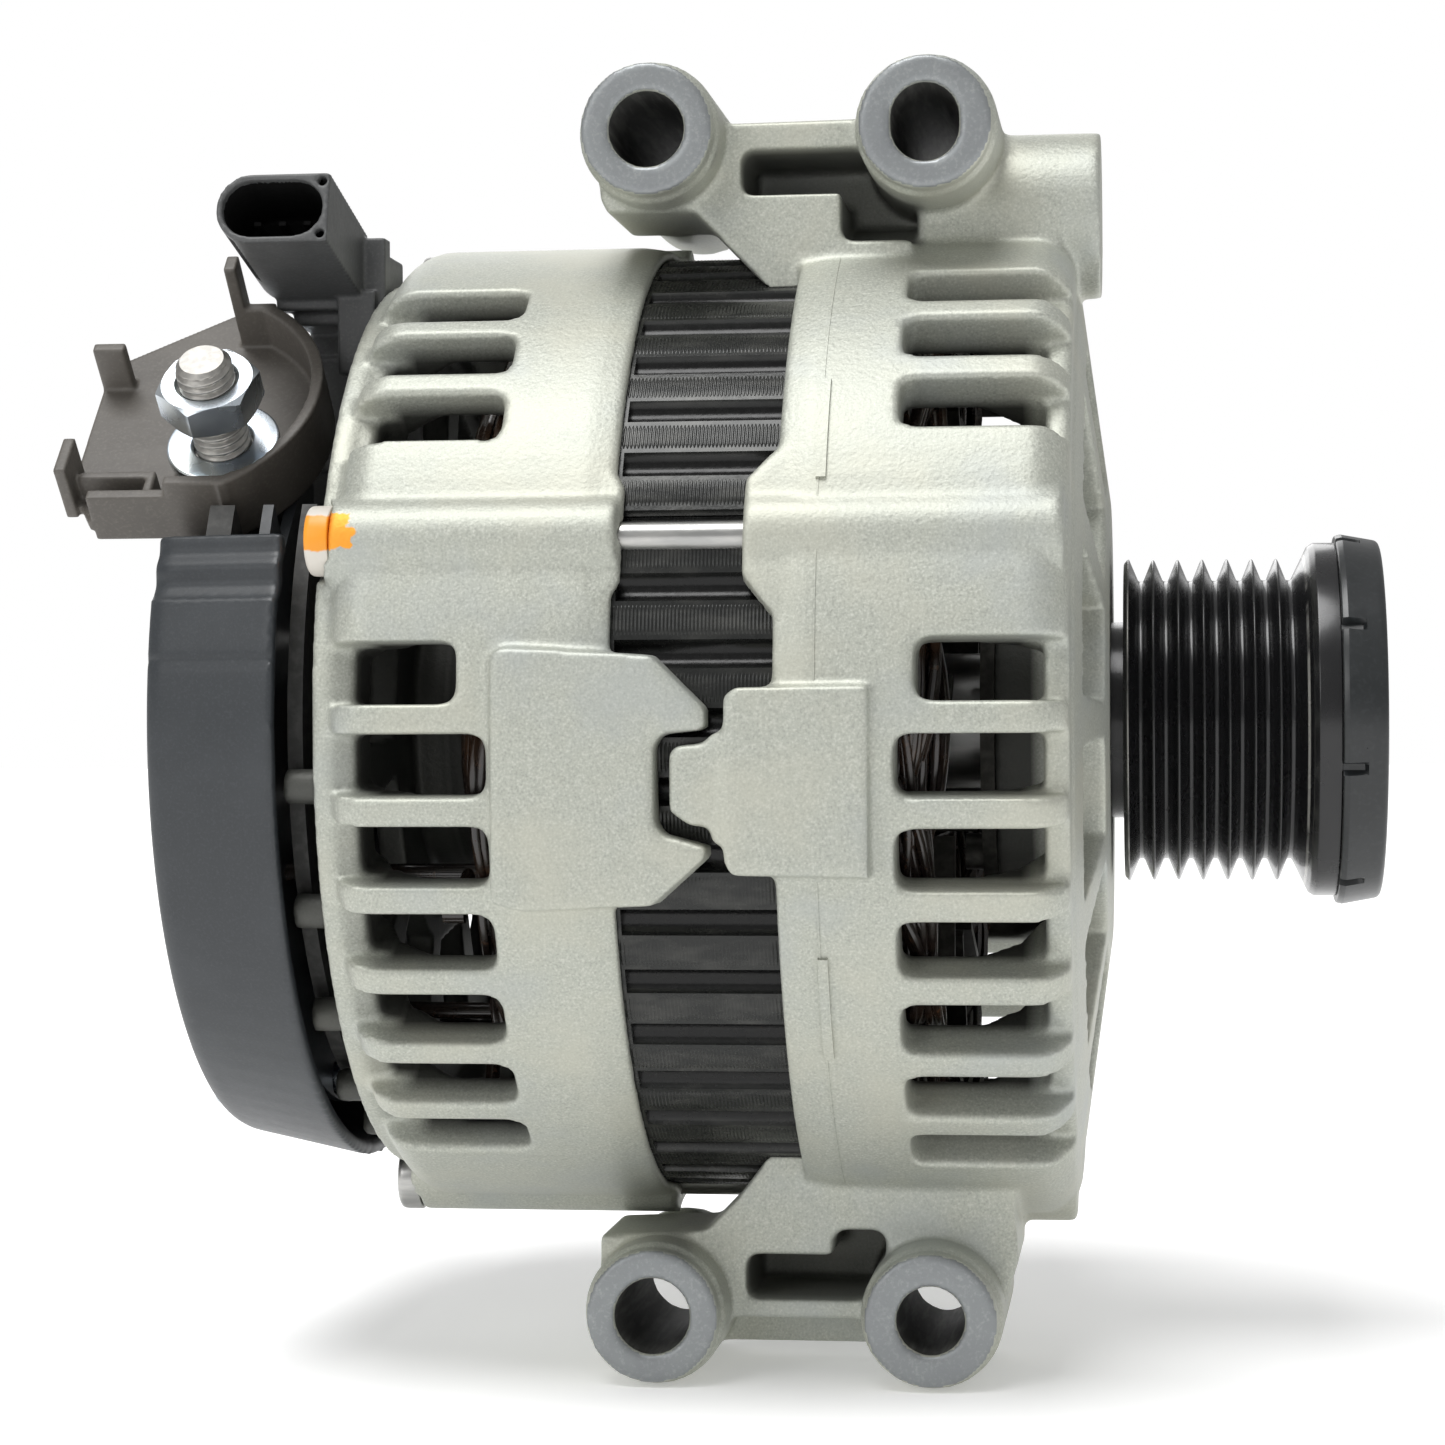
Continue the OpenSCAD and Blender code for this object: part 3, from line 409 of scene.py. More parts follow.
MATERIALS = {
    "cast_aluminium": cast_aluminium,
    "lacquered_steel": lacquered_steel,
    "lacquered_copper": lacquered_copper,
    "bare_copper": lambda: metal("bare_copper", (0.66, 0.3, 0.14), (0.8, 0.42, 0.22), (0.2, 0.36)),
    "steel": lambda: metal(
        "steel", (0.4, 0.4, 0.39), (0.62, 0.61, 0.58), (0.26, 0.42), 700, (0.2, 1, 1)),
    "zinc_steel": zinc_plate,
    "black_cover_plastic": lambda: plastic(
        "black_cover_plastic", (0.026, 0.03, 0.034), (0.05, 0.056, 0.062), (0.36, 0.46), 2600, 0.03),
    "connector_plastic": lambda: plastic(
        "connector_plastic", (0.075, 0.077, 0.078), (0.15, 0.153, 0.152), (0.38, 0.52), 2200, 0.03),
    "shroud_plastic": lambda: plastic(
        "shroud_plastic", (0.095, 0.086, 0.075), (0.17, 0.155, 0.135), (0.42, 0.56), 2000, 0.04),
    "insulating_plastic": lambda: plastic(
        "insulating_plastic", (0.2, 0.17, 0.13), (0.3, 0.26, 0.2), (0.4, 0.55), 1500, 0.04),
    "tinned_contact": lambda: metal("tinned_contact", (0.6, 0.6, 0.58), (0.75, 0.74, 0.7), (0.2, 0.3)),
    "carbon": lambda: plastic(
        "carbon", (0.03, 0.028, 0.026), (0.12, 0.07, 0.05), (0.3, 0.5), 1800, 0.05),
    "pulley_black": pulley_black,
    "cap_plastic": lambda: plastic(
        "cap_plastic", (0.016, 0.018, 0.019), (0.035, 0.038, 0.04), (0.24, 0.36), 1400, 0.02),
}
made = {}


def finish_of(slot):
    """The material of one of the record's slots, made once."""
    if slot not in made:
        made[slot] = MATERIALS[slot]().material
    return made[slot]


# ---------- mesh helpers ----------

def add_piece(name, vertices, faces, body, slot, replaces=(), smooth_angle=40, material=None):
    """A new piece from points and faces, smooth up to smooth_angle degrees, riding on a body."""
    mesh = bpy.data.meshes.new(name)
    mesh.from_pydata([tuple(p) for p in vertices], [], [tuple(f) for f in faces])
    return add_mesh(name, mesh, body, slot, replaces, smooth_angle, material)


def add_mesh(name, mesh, body, slot, replaces=(), smooth_angle=40, material=None):
    bm = bmesh.new()
    bm.from_mesh(mesh)
    bmesh.ops.remove_doubles(bm, verts=bm.verts, dist=1e-6)
    bmesh.ops.recalc_face_normals(bm, faces=bm.faces)
    for face in bm.faces:
        face.smooth = True
    limit = math.radians(smooth_angle)
    for edge in bm.edges:
        edge.smooth = edge.calc_face_angle(math.pi) < limit
    bm.to_mesh(mesh)
    bm.free()
    piece = bpy.data.objects.new(name, mesh)
    bpy.context.scene.collection.objects.link(piece)
    mesh.materials.append(material or finish_of(slot))
    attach(piece, body)
    if replaces:
        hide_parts(*replaces)
    return piece


def ring_faces(rows, columns, closed_rows=False):
    """Quads of a grid of rows that close on themselves round the columns."""
    last = rows if closed_rows else rows - 1
    return [(r * columns + c, r * columns + (c + 1) % columns,
             (r + 1) % rows * columns + (c + 1) % columns, (r + 1) % rows * columns + c)
            for r in range(last) for c in range(columns)]


def fillet(points, radius, steps=4):
    """A closed outline of 2-D points with rounded corners; a radius of its own may follow a point."""
    out = []
    count = len(points)
    for i, item in enumerate(points):
        corner = Vector(item[:2])
        own = item[2] if len(item) > 2 else radius
        before = Vector(points[i - 1][:2]) - corner
        after = Vector(points[(i + 1) % count][:2]) - corner
        if own <= 0 or before.length < 1e-9 or after.length < 1e-9:
            out.append(tuple(corner))
            continue
        half = before.angle(after) / 2
        reach = min(own / max(math.tan(half), 0.05), before.length * 0.48, after.length * 0.48)
        start = corner + before.normalized() * reach
        end = corner + after.normalized() * reach
        for k in range(steps + 1):
            t = k / steps
            out.append(tuple(start * (1 - t) ** 2 + corner * 2 * t * (1 - t) + end * t ** 2))
    return out


def lathe(outline, steps=192):
    """Points and faces of a closed (x, radius) outline turned about the shaft."""
    vertices = [(x, -r * math.cos(a), r * math.sin(a))
                for x, r in outline for a in (2 * math.pi * k / steps for k in range(steps))]
    return vertices, ring_faces(len(outline), steps, closed_rows=True)


def move_to(vertices, place, x_axis, y_axis, z_axis):
    """Points given in local axes, put in place."""
    return [place + x_axis * v[0] + y_axis * v[1] + z_axis * v[2] for v in vertices]


def read_points(mesh):
    points = np.empty(len(mesh.vertices) * 3)
    mesh.vertices.foreach_get("co", points)
    return points.reshape(-1, 3)


def relax(mesh, weight, rounds):
    """Moves each point towards its neighbours' middle, by its own weight, so that edges round off."""
    points = read_points(mesh)
    edges = np.empty(len(mesh.edges) * 2, np.int64)
    mesh.edges.foreach_get("vertices", edges)
    a, b = edges.reshape(-1, 2).T
    count = len(points)
    share = np.bincount(a, minlength=count) + np.bincount(b, minlength=count)
    pull = weight(points)[:, None] * 0.5
    for _ in range(rounds):
        middle = np.stack([np.bincount(a, points[b, k], count) + np.bincount(b, points[a, k], count)
                           for k in range(3)], axis=1) / share[:, None]
        points += pull * (middle - points)
    mesh.vertices.foreach_set("co", points.ravel())
    mesh.update()


def evaluated(piece):
    """The mesh of an object with its modifiers applied."""
    return bpy.data.meshes.new_from_object(piece.evaluated_get(bpy.context.evaluated_depsgraph_get()))


def with_modifiers(mesh, *settings):
    """A mesh after some modifiers, each given as (kind, {setting: value})."""
    scratch = bpy.data.objects.new("scratch", mesh)
    bpy.context.scene.collection.objects.link(scratch)
    for kind, values in settings:
        modifier = scratch.modifiers.new(kind, kind)
        for key, value in values.items():
            setattr(modifier, key, value)
    result = evaluated(scratch)
    bpy.data.objects.remove(scratch)
    return result


def merged_copy(node):
    """A copy of a CAD node's mesh, joined across its faces' borders."""
    mesh = frame["nodes"][node].data.copy()
    mesh.materials.clear()
    bm = bmesh.new()
    bm.from_mesh(mesh)
    bmesh.ops.remove_doubles(bm, verts=bm.verts, dist=2e-6)
    bm.to_mesh(mesh)
    bm.free()
    return mesh


def moulded(name, node, voxel, weight, rounds, keep_share, shape=None, body=HOUSING):
    """A CAD node as a casting or moulding: the same body with its edges rounded off."""
    mesh = merged_copy(node)
    mesh = with_modifiers(mesh, ("REMESH", {"mode": "VOXEL", "voxel_size": voxel}))
    relax(mesh, weight, rounds)
    if shape:
        points = read_points(mesh)
        mesh.vertices.foreach_set("co", shape(points).ravel())
        mesh.update()
    if keep_share < 1:
        mesh = with_modifiers(mesh, ("DECIMATE", {"ratio": keep_share}))
    return add_mesh(name, mesh, body, SLOT_OF[node], [node], 80)


def paint_faces(piece, material, chosen):
    """Gives a second material to the faces whose middle is chosen."""
    mesh = piece.data
    mesh.materials.append(material)
    middles = np.empty(len(mesh.polygons) * 3)
    mesh.polygons.foreach_get("center", middles)
    index = np.where(chosen(middles.reshape(-1, 3)), len(mesh.materials) - 1, 0)
    old = np.empty(len(mesh.polygons), np.int32)
    mesh.polygons.foreach_get("material_index", old)
    mesh.polygons.foreach_set("material_index", np.where(index > 0, index, old).astype(np.int32))


# ---------- brackets ----------

def boss_distance(points):
    """Distance of each point from the nearest mounting bore's axis."""
    bores = [MOUNTS[n]["pos_m"] for n in
             ("upper_rear_bore", "lower_rear_bore", "lower_front_bore", "upper_front_slot")]
    return np.min([np.hypot(points[:, 0] - p[0], points[:, 2] - p[2]) for p in bores], axis=0)


def bracket_weight(points):
    """Strong rounding on the fins, little on the machined bosses and on the edge over the stator."""
    radius = np.hypot(points[:, 1], points[:, 2])
    weight = np.where(radius > 62 * MM, 1.0, 0.45)
    weight = np.where(boss_distance(points) < 10.4 * MM, 0.22, weight)
    inside = (radius < STATOR_R + 0.8 * MM) & (radius > STATOR_R - 1 * MM)
    return np.where(inside, 0.15, weight)


def machined(points):
    """Faces cut by a tool: the bosses' ends and bores."""
    near_face = MOUNTS["upper_rear_bore"]["pos_m"][1] + 0.4 * MM
    distance = boss_distance(points)
    return (distance < 9.3 * MM) & (points[:, 1] < near_face)


def bored(points):
    """The walls of the mounting bores, past their rims."""
    rim = MOUNTS["upper_rear_bore"]["pos_m"][1] + 0.8 * MM
    return (boss_distance(points) < 6.2 * MM) & (points[:, 1] > rim)


def brackets():
    """The two castings, with the dab of paint and the tooled faces."""
    machined_metal = machined_aluminium().material
    drive = moulded("drive_end_casting", "drive_end_bracket", 0.5 * MM, bracket_weight, 7, 0.4)
    paint_faces(drive, machined_metal, machined)
    # painted shade on the bores' walls, past their rims
    paint_faces(drive, bore_wall_painted_shade().material, bored)
    rear = moulded("slip_ring_end_casting", "slip_ring_end_bracket", 0.5 * MM, bracket_weight, 7, 0.4)
    rear.data.materials[0] = orange_paint_on_casting().material
    mould_line()


def arc_bar(x0, x1, r0, r1, start, end, steps):
    """Points and faces of a bar bent round the shaft between two angles in degrees."""
    vertices = []
    for k in range(steps + 1):
        a = math.radians(start + (end - start) * k / steps)
        vertices += [(x, -radius * math.cos(a), radius * math.sin(a))
                     for x, radius in ((x0, r0), (x0 + 0.1 * MM, r1), (x1 - 0.1 * MM, r1), (x1, r0))]
    faces = ring_faces(steps + 1, 4)
    return vertices, faces + [(3, 2, 1, 0), tuple(steps * 4 + k for k in range(4))]


def mould_line():
    """The fine ridge and the two raised marks where the drive-end casting's mould parts."""
    sunk_r = DRUM_R - 0.5 * MM
    half_mark = 6.4
    bars = [arc_bar(*MOULD_LINE_X, sunk_r, DRUM_R + 0.12 * MM, -165, 165, 220)]
    for middle in MOULD_MARK_ANGLES:
        bars.append(arc_bar(*MOULD_MARK_X, sunk_r, DRUM_R + 0.45 * MM,
                            middle - half_mark, middle + half_mark, 16))
    vertices, faces = gather(bars)
    add_piece("drive_end_mould_line", vertices, faces, HOUSING, "cast_aluminium")


# ---------- stator ----------

def stator_skin():
    """The ribbed outside of the stator between the brackets, with its laminations' edges."""
    start, end = STATOR_SHOWS_X
    lamination = 0.5 * MM
    around = STATOR_SLOTS * 14
    along = int(round((end - start) / lamination)) * 4
    pitch = 2 * math.pi / STATOR_SLOTS
    rows = []
    for i in range(along + 1):
        x = start + (end - start) * i / along
        lap = 0.5 + 0.5 * math.cos(2 * math.pi * (x - start) / lamination)
        ring = []
        for k in range(around):
            angle = 2 * math.pi * k / around
            side = abs((angle + pitch / 2) % pitch - pitch / 2) * STATOR_R
            edge = min(max((side - 1.2 * MM) / (1.9 * MM), 0), 1)
            rise = math.sqrt(1 - (1 - edge) ** 2)
            radius = STATOR_R - 1.85 * MM + 1.95 * MM * rise - 0.11 * MM * lap * rise
            ring.append((x, -radius * math.cos(angle), radius * math.sin(angle)))
        rows.extend(ring)
    inner = STATOR_R - 2.6 * MM
    for x in (end, start):
        for k in range(around):
            angle = 2 * math.pi * k / around
            rows.append((x, -inner * math.cos(angle), inner * math.sin(angle)))
    faces = ring_faces(along + 3, around, closed_rows=True)
    add_piece("stator_laminations", rows, faces, HOUSING, "lacquered_steel", smooth_angle=50)


def tube(points, radius, sides=7, reference=(1.0, 0.0, 0.0)):
    """Points and faces of a closed round tube along a path, which mostly runs across reference."""
    path = np.array(points)
    tangent = np.gradient(path, axis=0)
    tangent /= np.linalg.norm(tangent, axis=1)[:, None]
    side = np.cross(tangent, reference)
    weak = np.linalg.norm(side, axis=1) < 0.2
    side[weak] = np.cross(tangent[weak], (0.0, 0.6, 0.8))
    side /= np.linalg.norm(side, axis=1)[:, None]
    up = np.cross(side, tangent)
    turn = np.linspace(0, 2 * math.pi, sides, endpoint=False)
    rings = (path[:, None] + radius * (side[:, None] * np.cos(turn)[None, :, None]
                                       + up[:, None] * np.sin(turn)[None, :, None]))
    rows = len(path)
    faces = ring_faces(rows, sides)
    faces += [tuple(range(sides))[::-1], tuple((rows - 1) * sides + k for k in range(sides))]
    return rings.reshape(-1, 3), faces


def gather(parts):
    """One set of points and faces from many."""
    vertices, faces = [], []
    for points, polygons in parts:
        base = len(vertices)
        vertices.extend(map(tuple, points))
        faces.extend(tuple(base + k for k in polygon) for polygon in polygons)
    return vertices, faces


def winding_head(name, stack_x, tip_x, replaces=()):
    """The wires that cross from slot to slot outside one end of the stator stack."""
    wire = 0.66 * MM
    reach = tip_x - stack_x
    towards = 1 if reach > 0 else -1
    span = 6 * 2 * math.pi / STATOR_SLOTS
    parts = []
    for layer, (middle, slant) in enumerate([(62.3, 1), (59.4, -1), (56.8, 1)]):
        for i in range(0, STATOR_SLOTS, 2):
            start = 2 * math.pi * (i + 0.5 + layer * 0.6) / STATOR_SLOTS
            height = 0.62 + 0.3 * random.random()
            twist = random.uniform(0.6, 1.6) * random.choice((-1, 1))
            for strand in range(6):
                spot = Vector((strand % 3 - 1, strand // 3 - 0.5)) * (wire * 2.05)
                loose = random.uniform(-0.5, 0.5) * MM
                path = []
                for k in range(19):
                    t = k / 18
                    ease = t * t * (3 - 2 * t)
                    rise = math.sin(math.pi * t) ** 0.7
                    roll = twist * (t - 0.5) * 2.2
                    out = spot.x * math.sin(roll) + spot.y * math.cos(roll)
                    across = spot.x * math.cos(roll) - spot.y * math.sin(roll)
                    angle = start + slant * span * (ease - 0.5) + across / (middle * MM)
                    radius = (middle * MM + out + 0.5 * MM * math.sin(math.pi * t)
                              + loose * math.sin(2 * math.pi * t))
                    radius = min(radius, 64.6 * MM)
                    lengthways = towards * (1.0 * MM + rise * (abs(reach) * height - 2 * MM)
                                            + across * 0.8 * rise + loose * rise)
                    path.append((stack_x + lengthways, -radius * math.cos(angle),
                                 radius * math.sin(angle)))
                parts.append(tube(path, wire, 6))
    vertices, faces = gather(parts)
    add_piece(name, vertices, faces, HOUSING, "lacquered_copper", replaces, 60)


def windings():
    """Both winding heads, and the straight sides between them."""
    winding_head("front_winding_head", STATOR_X[1], WINDING_X[1], ["stator_winding"])
    winding_head("rear_winding_head", STATOR_X[0], WINDING_X[0])
    # the conductors' straight sides fill the slots, and a dark band backs the loops
    sides = fillet([(STATOR_X[0] - 9 * MM, 55.2 * MM), (STATOR_X[1] + 9 * MM, 55.2 * MM),
                    (STATOR_X[1] + 9 * MM, 57.2 * MM), (STATOR_X[1] + 0.4 * MM, 62.5 * MM),
                    (STATOR_X[0] - 0.4 * MM, 62.5 * MM), (STATOR_X[0] - 9 * MM, 57.2 * MM)], 0.8 * MM)
    vertices, faces = lathe(sides, 144)
    add_piece("winding_sides", vertices, faces, HOUSING, "lacquered_copper")


# ---------- bolts ----------

def bolts():
    """Through bolts with round heads that have a six-lobed recess."""
    head_x, rod_end = box_x("through_bolts")
    seat = head_x + 3.3 * MM
    profile = fillet([(head_x, 2.0 * MM, 0), (head_x, 4.7 * MM, 0.9 * MM), (seat, 4.7 * MM, 0.25 * MM),
                      (seat, 2.1 * MM, 0), (rod_end, 2.1 * MM, 0.3 * MM), (rod_end, 0.0, 0),
                      (head_x + 1.6 * MM, 0.0, 0), (head_x + 1.6 * MM, 1.9 * MM, 0)], 0.3 * MM)
    steps = 48
    for number, angle in enumerate(BOLT_ANGLES):
        turn = math.radians(angle)
        place = Vector((0, -BOLT_CIRCLE * math.cos(turn), BOLT_CIRCLE * math.sin(turn)))
        vertices = []
        for x, r in profile:
            for k in range(steps):
                a = 2 * math.pi * k / steps
                lobed = r * (1 + 0.09 * math.cos(6 * a)) if x < seat - 0.2 * MM and r < 2.3 * MM else r
                vertices.append((x, place.y + lobed * math.cos(a), place.z + lobed * math.sin(a)))
        faces = ring_faces(len(profile), steps, closed_rows=True)
        painted = number == 0
        piece = add_piece(f"through_bolt_{number + 1}", vertices, faces, HOUSING, "steel",
                          ["through_bolts"], 35)
        if painted:
            edge = seat + 0.2 * MM
            paint_faces(piece, orange_bolt_head().material, lambda p: p[:, 0] < edge)


# ---------- pulley ----------

def pulley():
    """The seven-rib ring, with the flange and the seat that its cap snaps on to."""
    low, high = PULLEY_X
    first = -RIB_PITCH * RIBS / 2
    outline = [(low, PULLEY_BORE_R, 0.3 * MM), (low, RIB_TIP_R - 0.8 * MM, 0.6 * MM),
               (first, RIB_TIP_R, 0.2 * MM)]
    for i in range(RIBS):
        middle = first + (i + 0.5) * RIB_PITCH
        outline += [(middle - 0.35 * MM, RIB_ROOT_R, 0.4 * MM),
                    (middle + 0.35 * MM, RIB_ROOT_R, 0.4 * MM)]
        if i < RIBS - 1:
            outline.append((first + (i + 1) * RIB_PITCH, RIB_TIP_R + 0.14 * MM, 0.34 * MM))
    outline += [(-first + 0.9 * MM, FLANGE_R - 0.5 * MM, 0.6 * MM),
                (-first + 1.7 * MM, FLANGE_R, 0.5 * MM),
                (CAP_RIM_X, FLANGE_R, 0.2 * MM), (CAP_RIM_X, CAP_SEAT_R, 0),
                (high, CAP_SEAT_R, 0.2 * MM), (high, PULLEY_BORE_R, 0.3 * MM)]
    vertices, faces = lathe(fillet(outline, 0.3 * MM, 5), 256)
    add_piece("pulley_ring_turned", vertices, faces, PULLEY, "pulley_black", ["pulley_ring"], 50)


def pulley_cap():
    """The cap that snaps over the flange, with eight notches in its rim."""
    end = CAP_X[1]
    rim_x = CAP_RIM_X
    notch_depth, notch_reach, half_notch = 1.3 * MM, 3.2 * MM, 0.75 * MM
    outline = fillet([(end, 0.01 * MM, 0), (end, 20.5 * MM, 0.5 * MM),
                      (end - 0.5 * MM, 21 * MM, 0.4 * MM), (end - 0.5 * MM, 22.6 * MM, 0.4 * MM),
                      (end, 23 * MM, 0.4 * MM), (end, CAP_R - 1 * MM, 1 * MM),
                      (rim_x + 0.9 * MM, CAP_R, 0.5 * MM), (rim_x, CAP_R - 0.2 * MM, 0.3 * MM),
                      (rim_x, CAP_SEAT_R, 0), (21 * MM, CAP_SEAT_R, 0), (22 * MM, 22 * MM, 0),
                      (22 * MM, 0.01 * MM, 0)], 0.3 * MM, 5)
    steps = 360
    fine = []
    for (x0, r0), (x1, r1) in zip(outline, outline[1:] + outline[:1]):
        parts = max(1, int(math.hypot(x1 - x0, r1 - r0) / (0.5 * MM))) if max(r0, r1) > 24 * MM else 1
        fine += [(x0 + (x1 - x0) * k / parts, r0 + (r1 - r0) * k / parts) for k in range(parts)]
    vertices = []
    for x, r in fine:
        for k in range(steps):
            angle = 2 * math.pi * k / steps
            from_notch = (math.degrees(angle) + 15 + 22.5) % 45 - 22.5
            side = abs(math.radians(from_notch)) * CAP_R
            in_notch = side < half_notch and x < rim_x + notch_reach and r > CAP_R - notch_depth
            radius = CAP_R - notch_depth if in_notch else r
            vertices.append((x, -radius * math.cos(angle), radius * math.sin(angle)))
    faces = ring_faces(len(fine), steps, closed_rows=True)
    add_piece("pulley_cap_moulded", vertices, faces, PULLEY, "cap_plastic", ["pulley_cap"], 40)


# ---------- brush springs ----------

def brush_springs():
    """Coil springs behind the brushes, each one fixed coil; on the real part they shorten as the
    brushes lift against them.
    """
    wire, turns, steps = 0.38 * MM, 7, 28
    for side in ("front", "rear"):
        low, high = (Vector(corner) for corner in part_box(f"{side}_brush_spring"))
        middle = (low + high) / 2
        coil_r = (high.x - low.x) / 2 - wire
        start, length = low.z + wire + 0.1 * MM, high.z - low.z - 2 * wire - 0.1 * MM
        path = []
        for k in range(turns * steps + 1):
            angle = 2 * math.pi * k / steps
            path.append((middle.x + coil_r * math.cos(angle), middle.y + coil_r * math.sin(angle),
                         start + length * k / (turns * steps)))
        vertices, faces = tube(path, wire, 8, (0.0, 0.0, 1.0))
        coil = add_piece(f"{side}_brush_coil", vertices, faces, HOUSING, "steel",
                         [f"{side}_brush_spring"], 60)
        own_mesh(coil)


# ---------- charging terminal ----------

def on_stud(vertices):
    """Local points, +Z outward along the stud and +X along the shaft, put on the stud's axis."""
    return move_to(vertices, Vector((STUD_X, 0, 0)), Vector((1, 0, 0)), STUD_UP, STUD_OUT)


def thread(start, end, radius, depth, pitch, chamfer, steps=36, per_turn=12):
    """Points and faces of a threaded rod along local Z, with a chamfered end."""
    rows = int((end - start) / pitch * per_turn)
    vertices = []
    for i in range(rows + 1):
        z = start + (end - start) * i / rows
        for k in range(steps):
            angle = 2 * math.pi * k / steps
            phase = (z / pitch - angle / (2 * math.pi)) % 1
            groove = depth * min(1, max(0, abs(phase - 0.5) * 2.6 - 0.25))
            limit = radius - max(0, chamfer - (end - z)) * 0.9
            r = min(radius - groove, limit)
            vertices.append((r * math.cos(angle), r * math.sin(angle), z))
    faces = ring_faces(rows + 1, steps)
    faces += [tuple(range(steps))[::-1], tuple(rows * steps + k for k in range(steps))]
    return vertices, faces


def turned(outline, steps=64):
    """Points and faces of a closed (z, radius) outline turned about local Z."""
    vertices = [(r * math.cos(2 * math.pi * k / steps), r * math.sin(2 * math.pi * k / steps), z)
                for z, r in outline for k in range(steps)]
    return vertices, ring_faces(len(outline), steps, closed_rows=True)


def hexagon_nut(low, high, corner_r, bore_r, turn):
    """A nut with the flats' arcs that its chamfer cuts, as points and faces about local Z."""
    steps = 96
    flat_r = corner_r * math.cos(math.pi / 6)
    bevel = 0.55 * (corner_r - flat_r)
    rows = [(low, bore_r + 0.4 * MM, None), (low, flat_r * 0.97, None)]
    rows += [(low, flat_r, "bevel"), (low + bevel, corner_r, "hex"), (high - bevel, corner_r, "hex"),
             (high, flat_r, "bevel")]
    rows += [(high, flat_r * 0.97, None), (high, bore_r + 0.5 * MM, None),
             (high - 0.5 * MM, bore_r, None), (low + 0.4 * MM, bore_r, None)]
    vertices = []
    for z, r, kind in rows:
        for k in range(steps):
            angle = 2 * math.pi * k / steps
            local = (angle - turn) % (math.pi / 3) - math.pi / 6
            hex_r = flat_r / math.cos(local)
            height, radius = z, r
            if kind == "hex":
                radius = hex_r
                cut = max(0, hex_r - flat_r) * 0.55
                height = z - (bevel - cut) if z < (low + high) / 2 else z + (bevel - cut)
            vertices.append((radius * math.cos(angle), radius * math.sin(angle), height))
    return vertices, ring_faces(len(rows), steps, closed_rows=True)


def terminal():
    """The stud with its collar, the washer on the collar, and the nut part-way up the thread."""
    foot, seat = COLLAR_OUT
    rod, rod_faces = thread(41 * MM, STUD_TIP_OUT, 3.98 * MM, 0.6 * MM, 1.25 * MM, 1.0 * MM, 48, 14)
    collar, collar_faces = turned(fillet([
        (foot, 3.5 * MM, 0), (foot, 7 * MM, 0.2 * MM), (seat, 7 * MM, 0.5 * MM),
        (seat, 3.5 * MM, 0)], 0.3 * MM))
    stud_points, stud_faces = gather([(rod, rod_faces), (collar, collar_faces)])
    dull = metal("stud_steel", (0.36, 0.35, 0.33), (0.56, 0.54, 0.5), (0.34, 0.5), 900).material
    add_piece("threaded_stud", on_stud(stud_points), stud_faces, HOUSING, "zinc_steel",
              ["terminal_stud"], 45, dull)
    washer, washer_faces = turned(fillet([
        (seat, 4.3 * MM), (seat, 8 * MM), (WASHER_TOP_OUT, 8 * MM), (WASHER_TOP_OUT, 4.3 * MM)],
        0.35 * MM), 96)
    add_piece("flat_washer", on_stud(washer), washer_faces, HOUSING, "zinc_steel",
              ["terminal_washer"], 40)
    nut, nut_faces = hexagon_nut(*NUT_OUT, 7.4 * MM, 4.05 * MM, math.radians(18))
    add_piece("hexagon_nut", on_stud(nut), nut_faces, "terminal_nut", "zinc_steel",
              ["terminal_nut"], 28)


# ---------- plastic mouldings ----------

def even(points):
    """The same full rounding everywhere."""
    return np.ones(len(points))


def cover_shape(points):
    """Draws in two shallow bands and a faint crease on the cover, under the terminal."""
    out = points.copy()
    height = points[:, 2]
    radius = np.hypot(points[:, 1], points[:, 2])
    ridge = 0.5 - 0.5 * np.cos((height - BANDS_Z) / BAND_HEIGHT * 2 * np.pi)
    step = np.clip((height - BANDS_Z + 0.4 * MM) / (0.8 * MM), 0, 1)
    crease = 0.3 * np.exp(-((height - CREASE_Z) / (0.6 * MM)) ** 2)
    sink = ((0.8 + 0.7 * ridge) * step + crease) * MM * (height < 40 * MM) * (points[:, 1] < 0)
    wall = np.clip((radius - 55 * MM) / (4 * MM), 0, 1)
    scale = 1 - sink * wall / np.maximum(radius, 1 * MM)
    out[:, 1] *= scale
    out[:, 2] *= scale
    return out


def in_socket(points):
    """Whether each point lies inside the plug socket, past its rim."""
    mouth = np.array(MOUNTS["plug_socket"]["pos_m"])
    axis = np.array(MOUNTS["plug_socket"]["axis"])
    offset = points - mouth
    depth = -offset @ axis
    sideways = offset[:, 0]
    across = offset + depth[:, None] * axis
    upward = np.linalg.norm(across - sideways[:, None] * np.array([1, 0, 0]), axis=1)
    within = (np.abs(sideways) < 7.3 * MM) & (upward < 4.4 * MM)
    return (depth > 1.2 * MM) & (depth < 17 * MM) & within


def mouldings():
    """The rear cover, the terminal's shroud and the regulator."""
    moulded("rear_cover_moulded", "rear_cover", 0.55 * MM, even, 4, 0.5, cover_shape)
    moulded("terminal_shroud_moulded", "terminal_shroud", 0.28 * MM, even, 4, 0.6)
    regulator = moulded("regulator_moulded", "regulator_housing", 0.3 * MM, even, 3, 0.5)
    # painted shade inside the plug socket, past its rim
    paint_faces(regulator, socket_shade().material, in_socket)


# ---------- assembly ----------

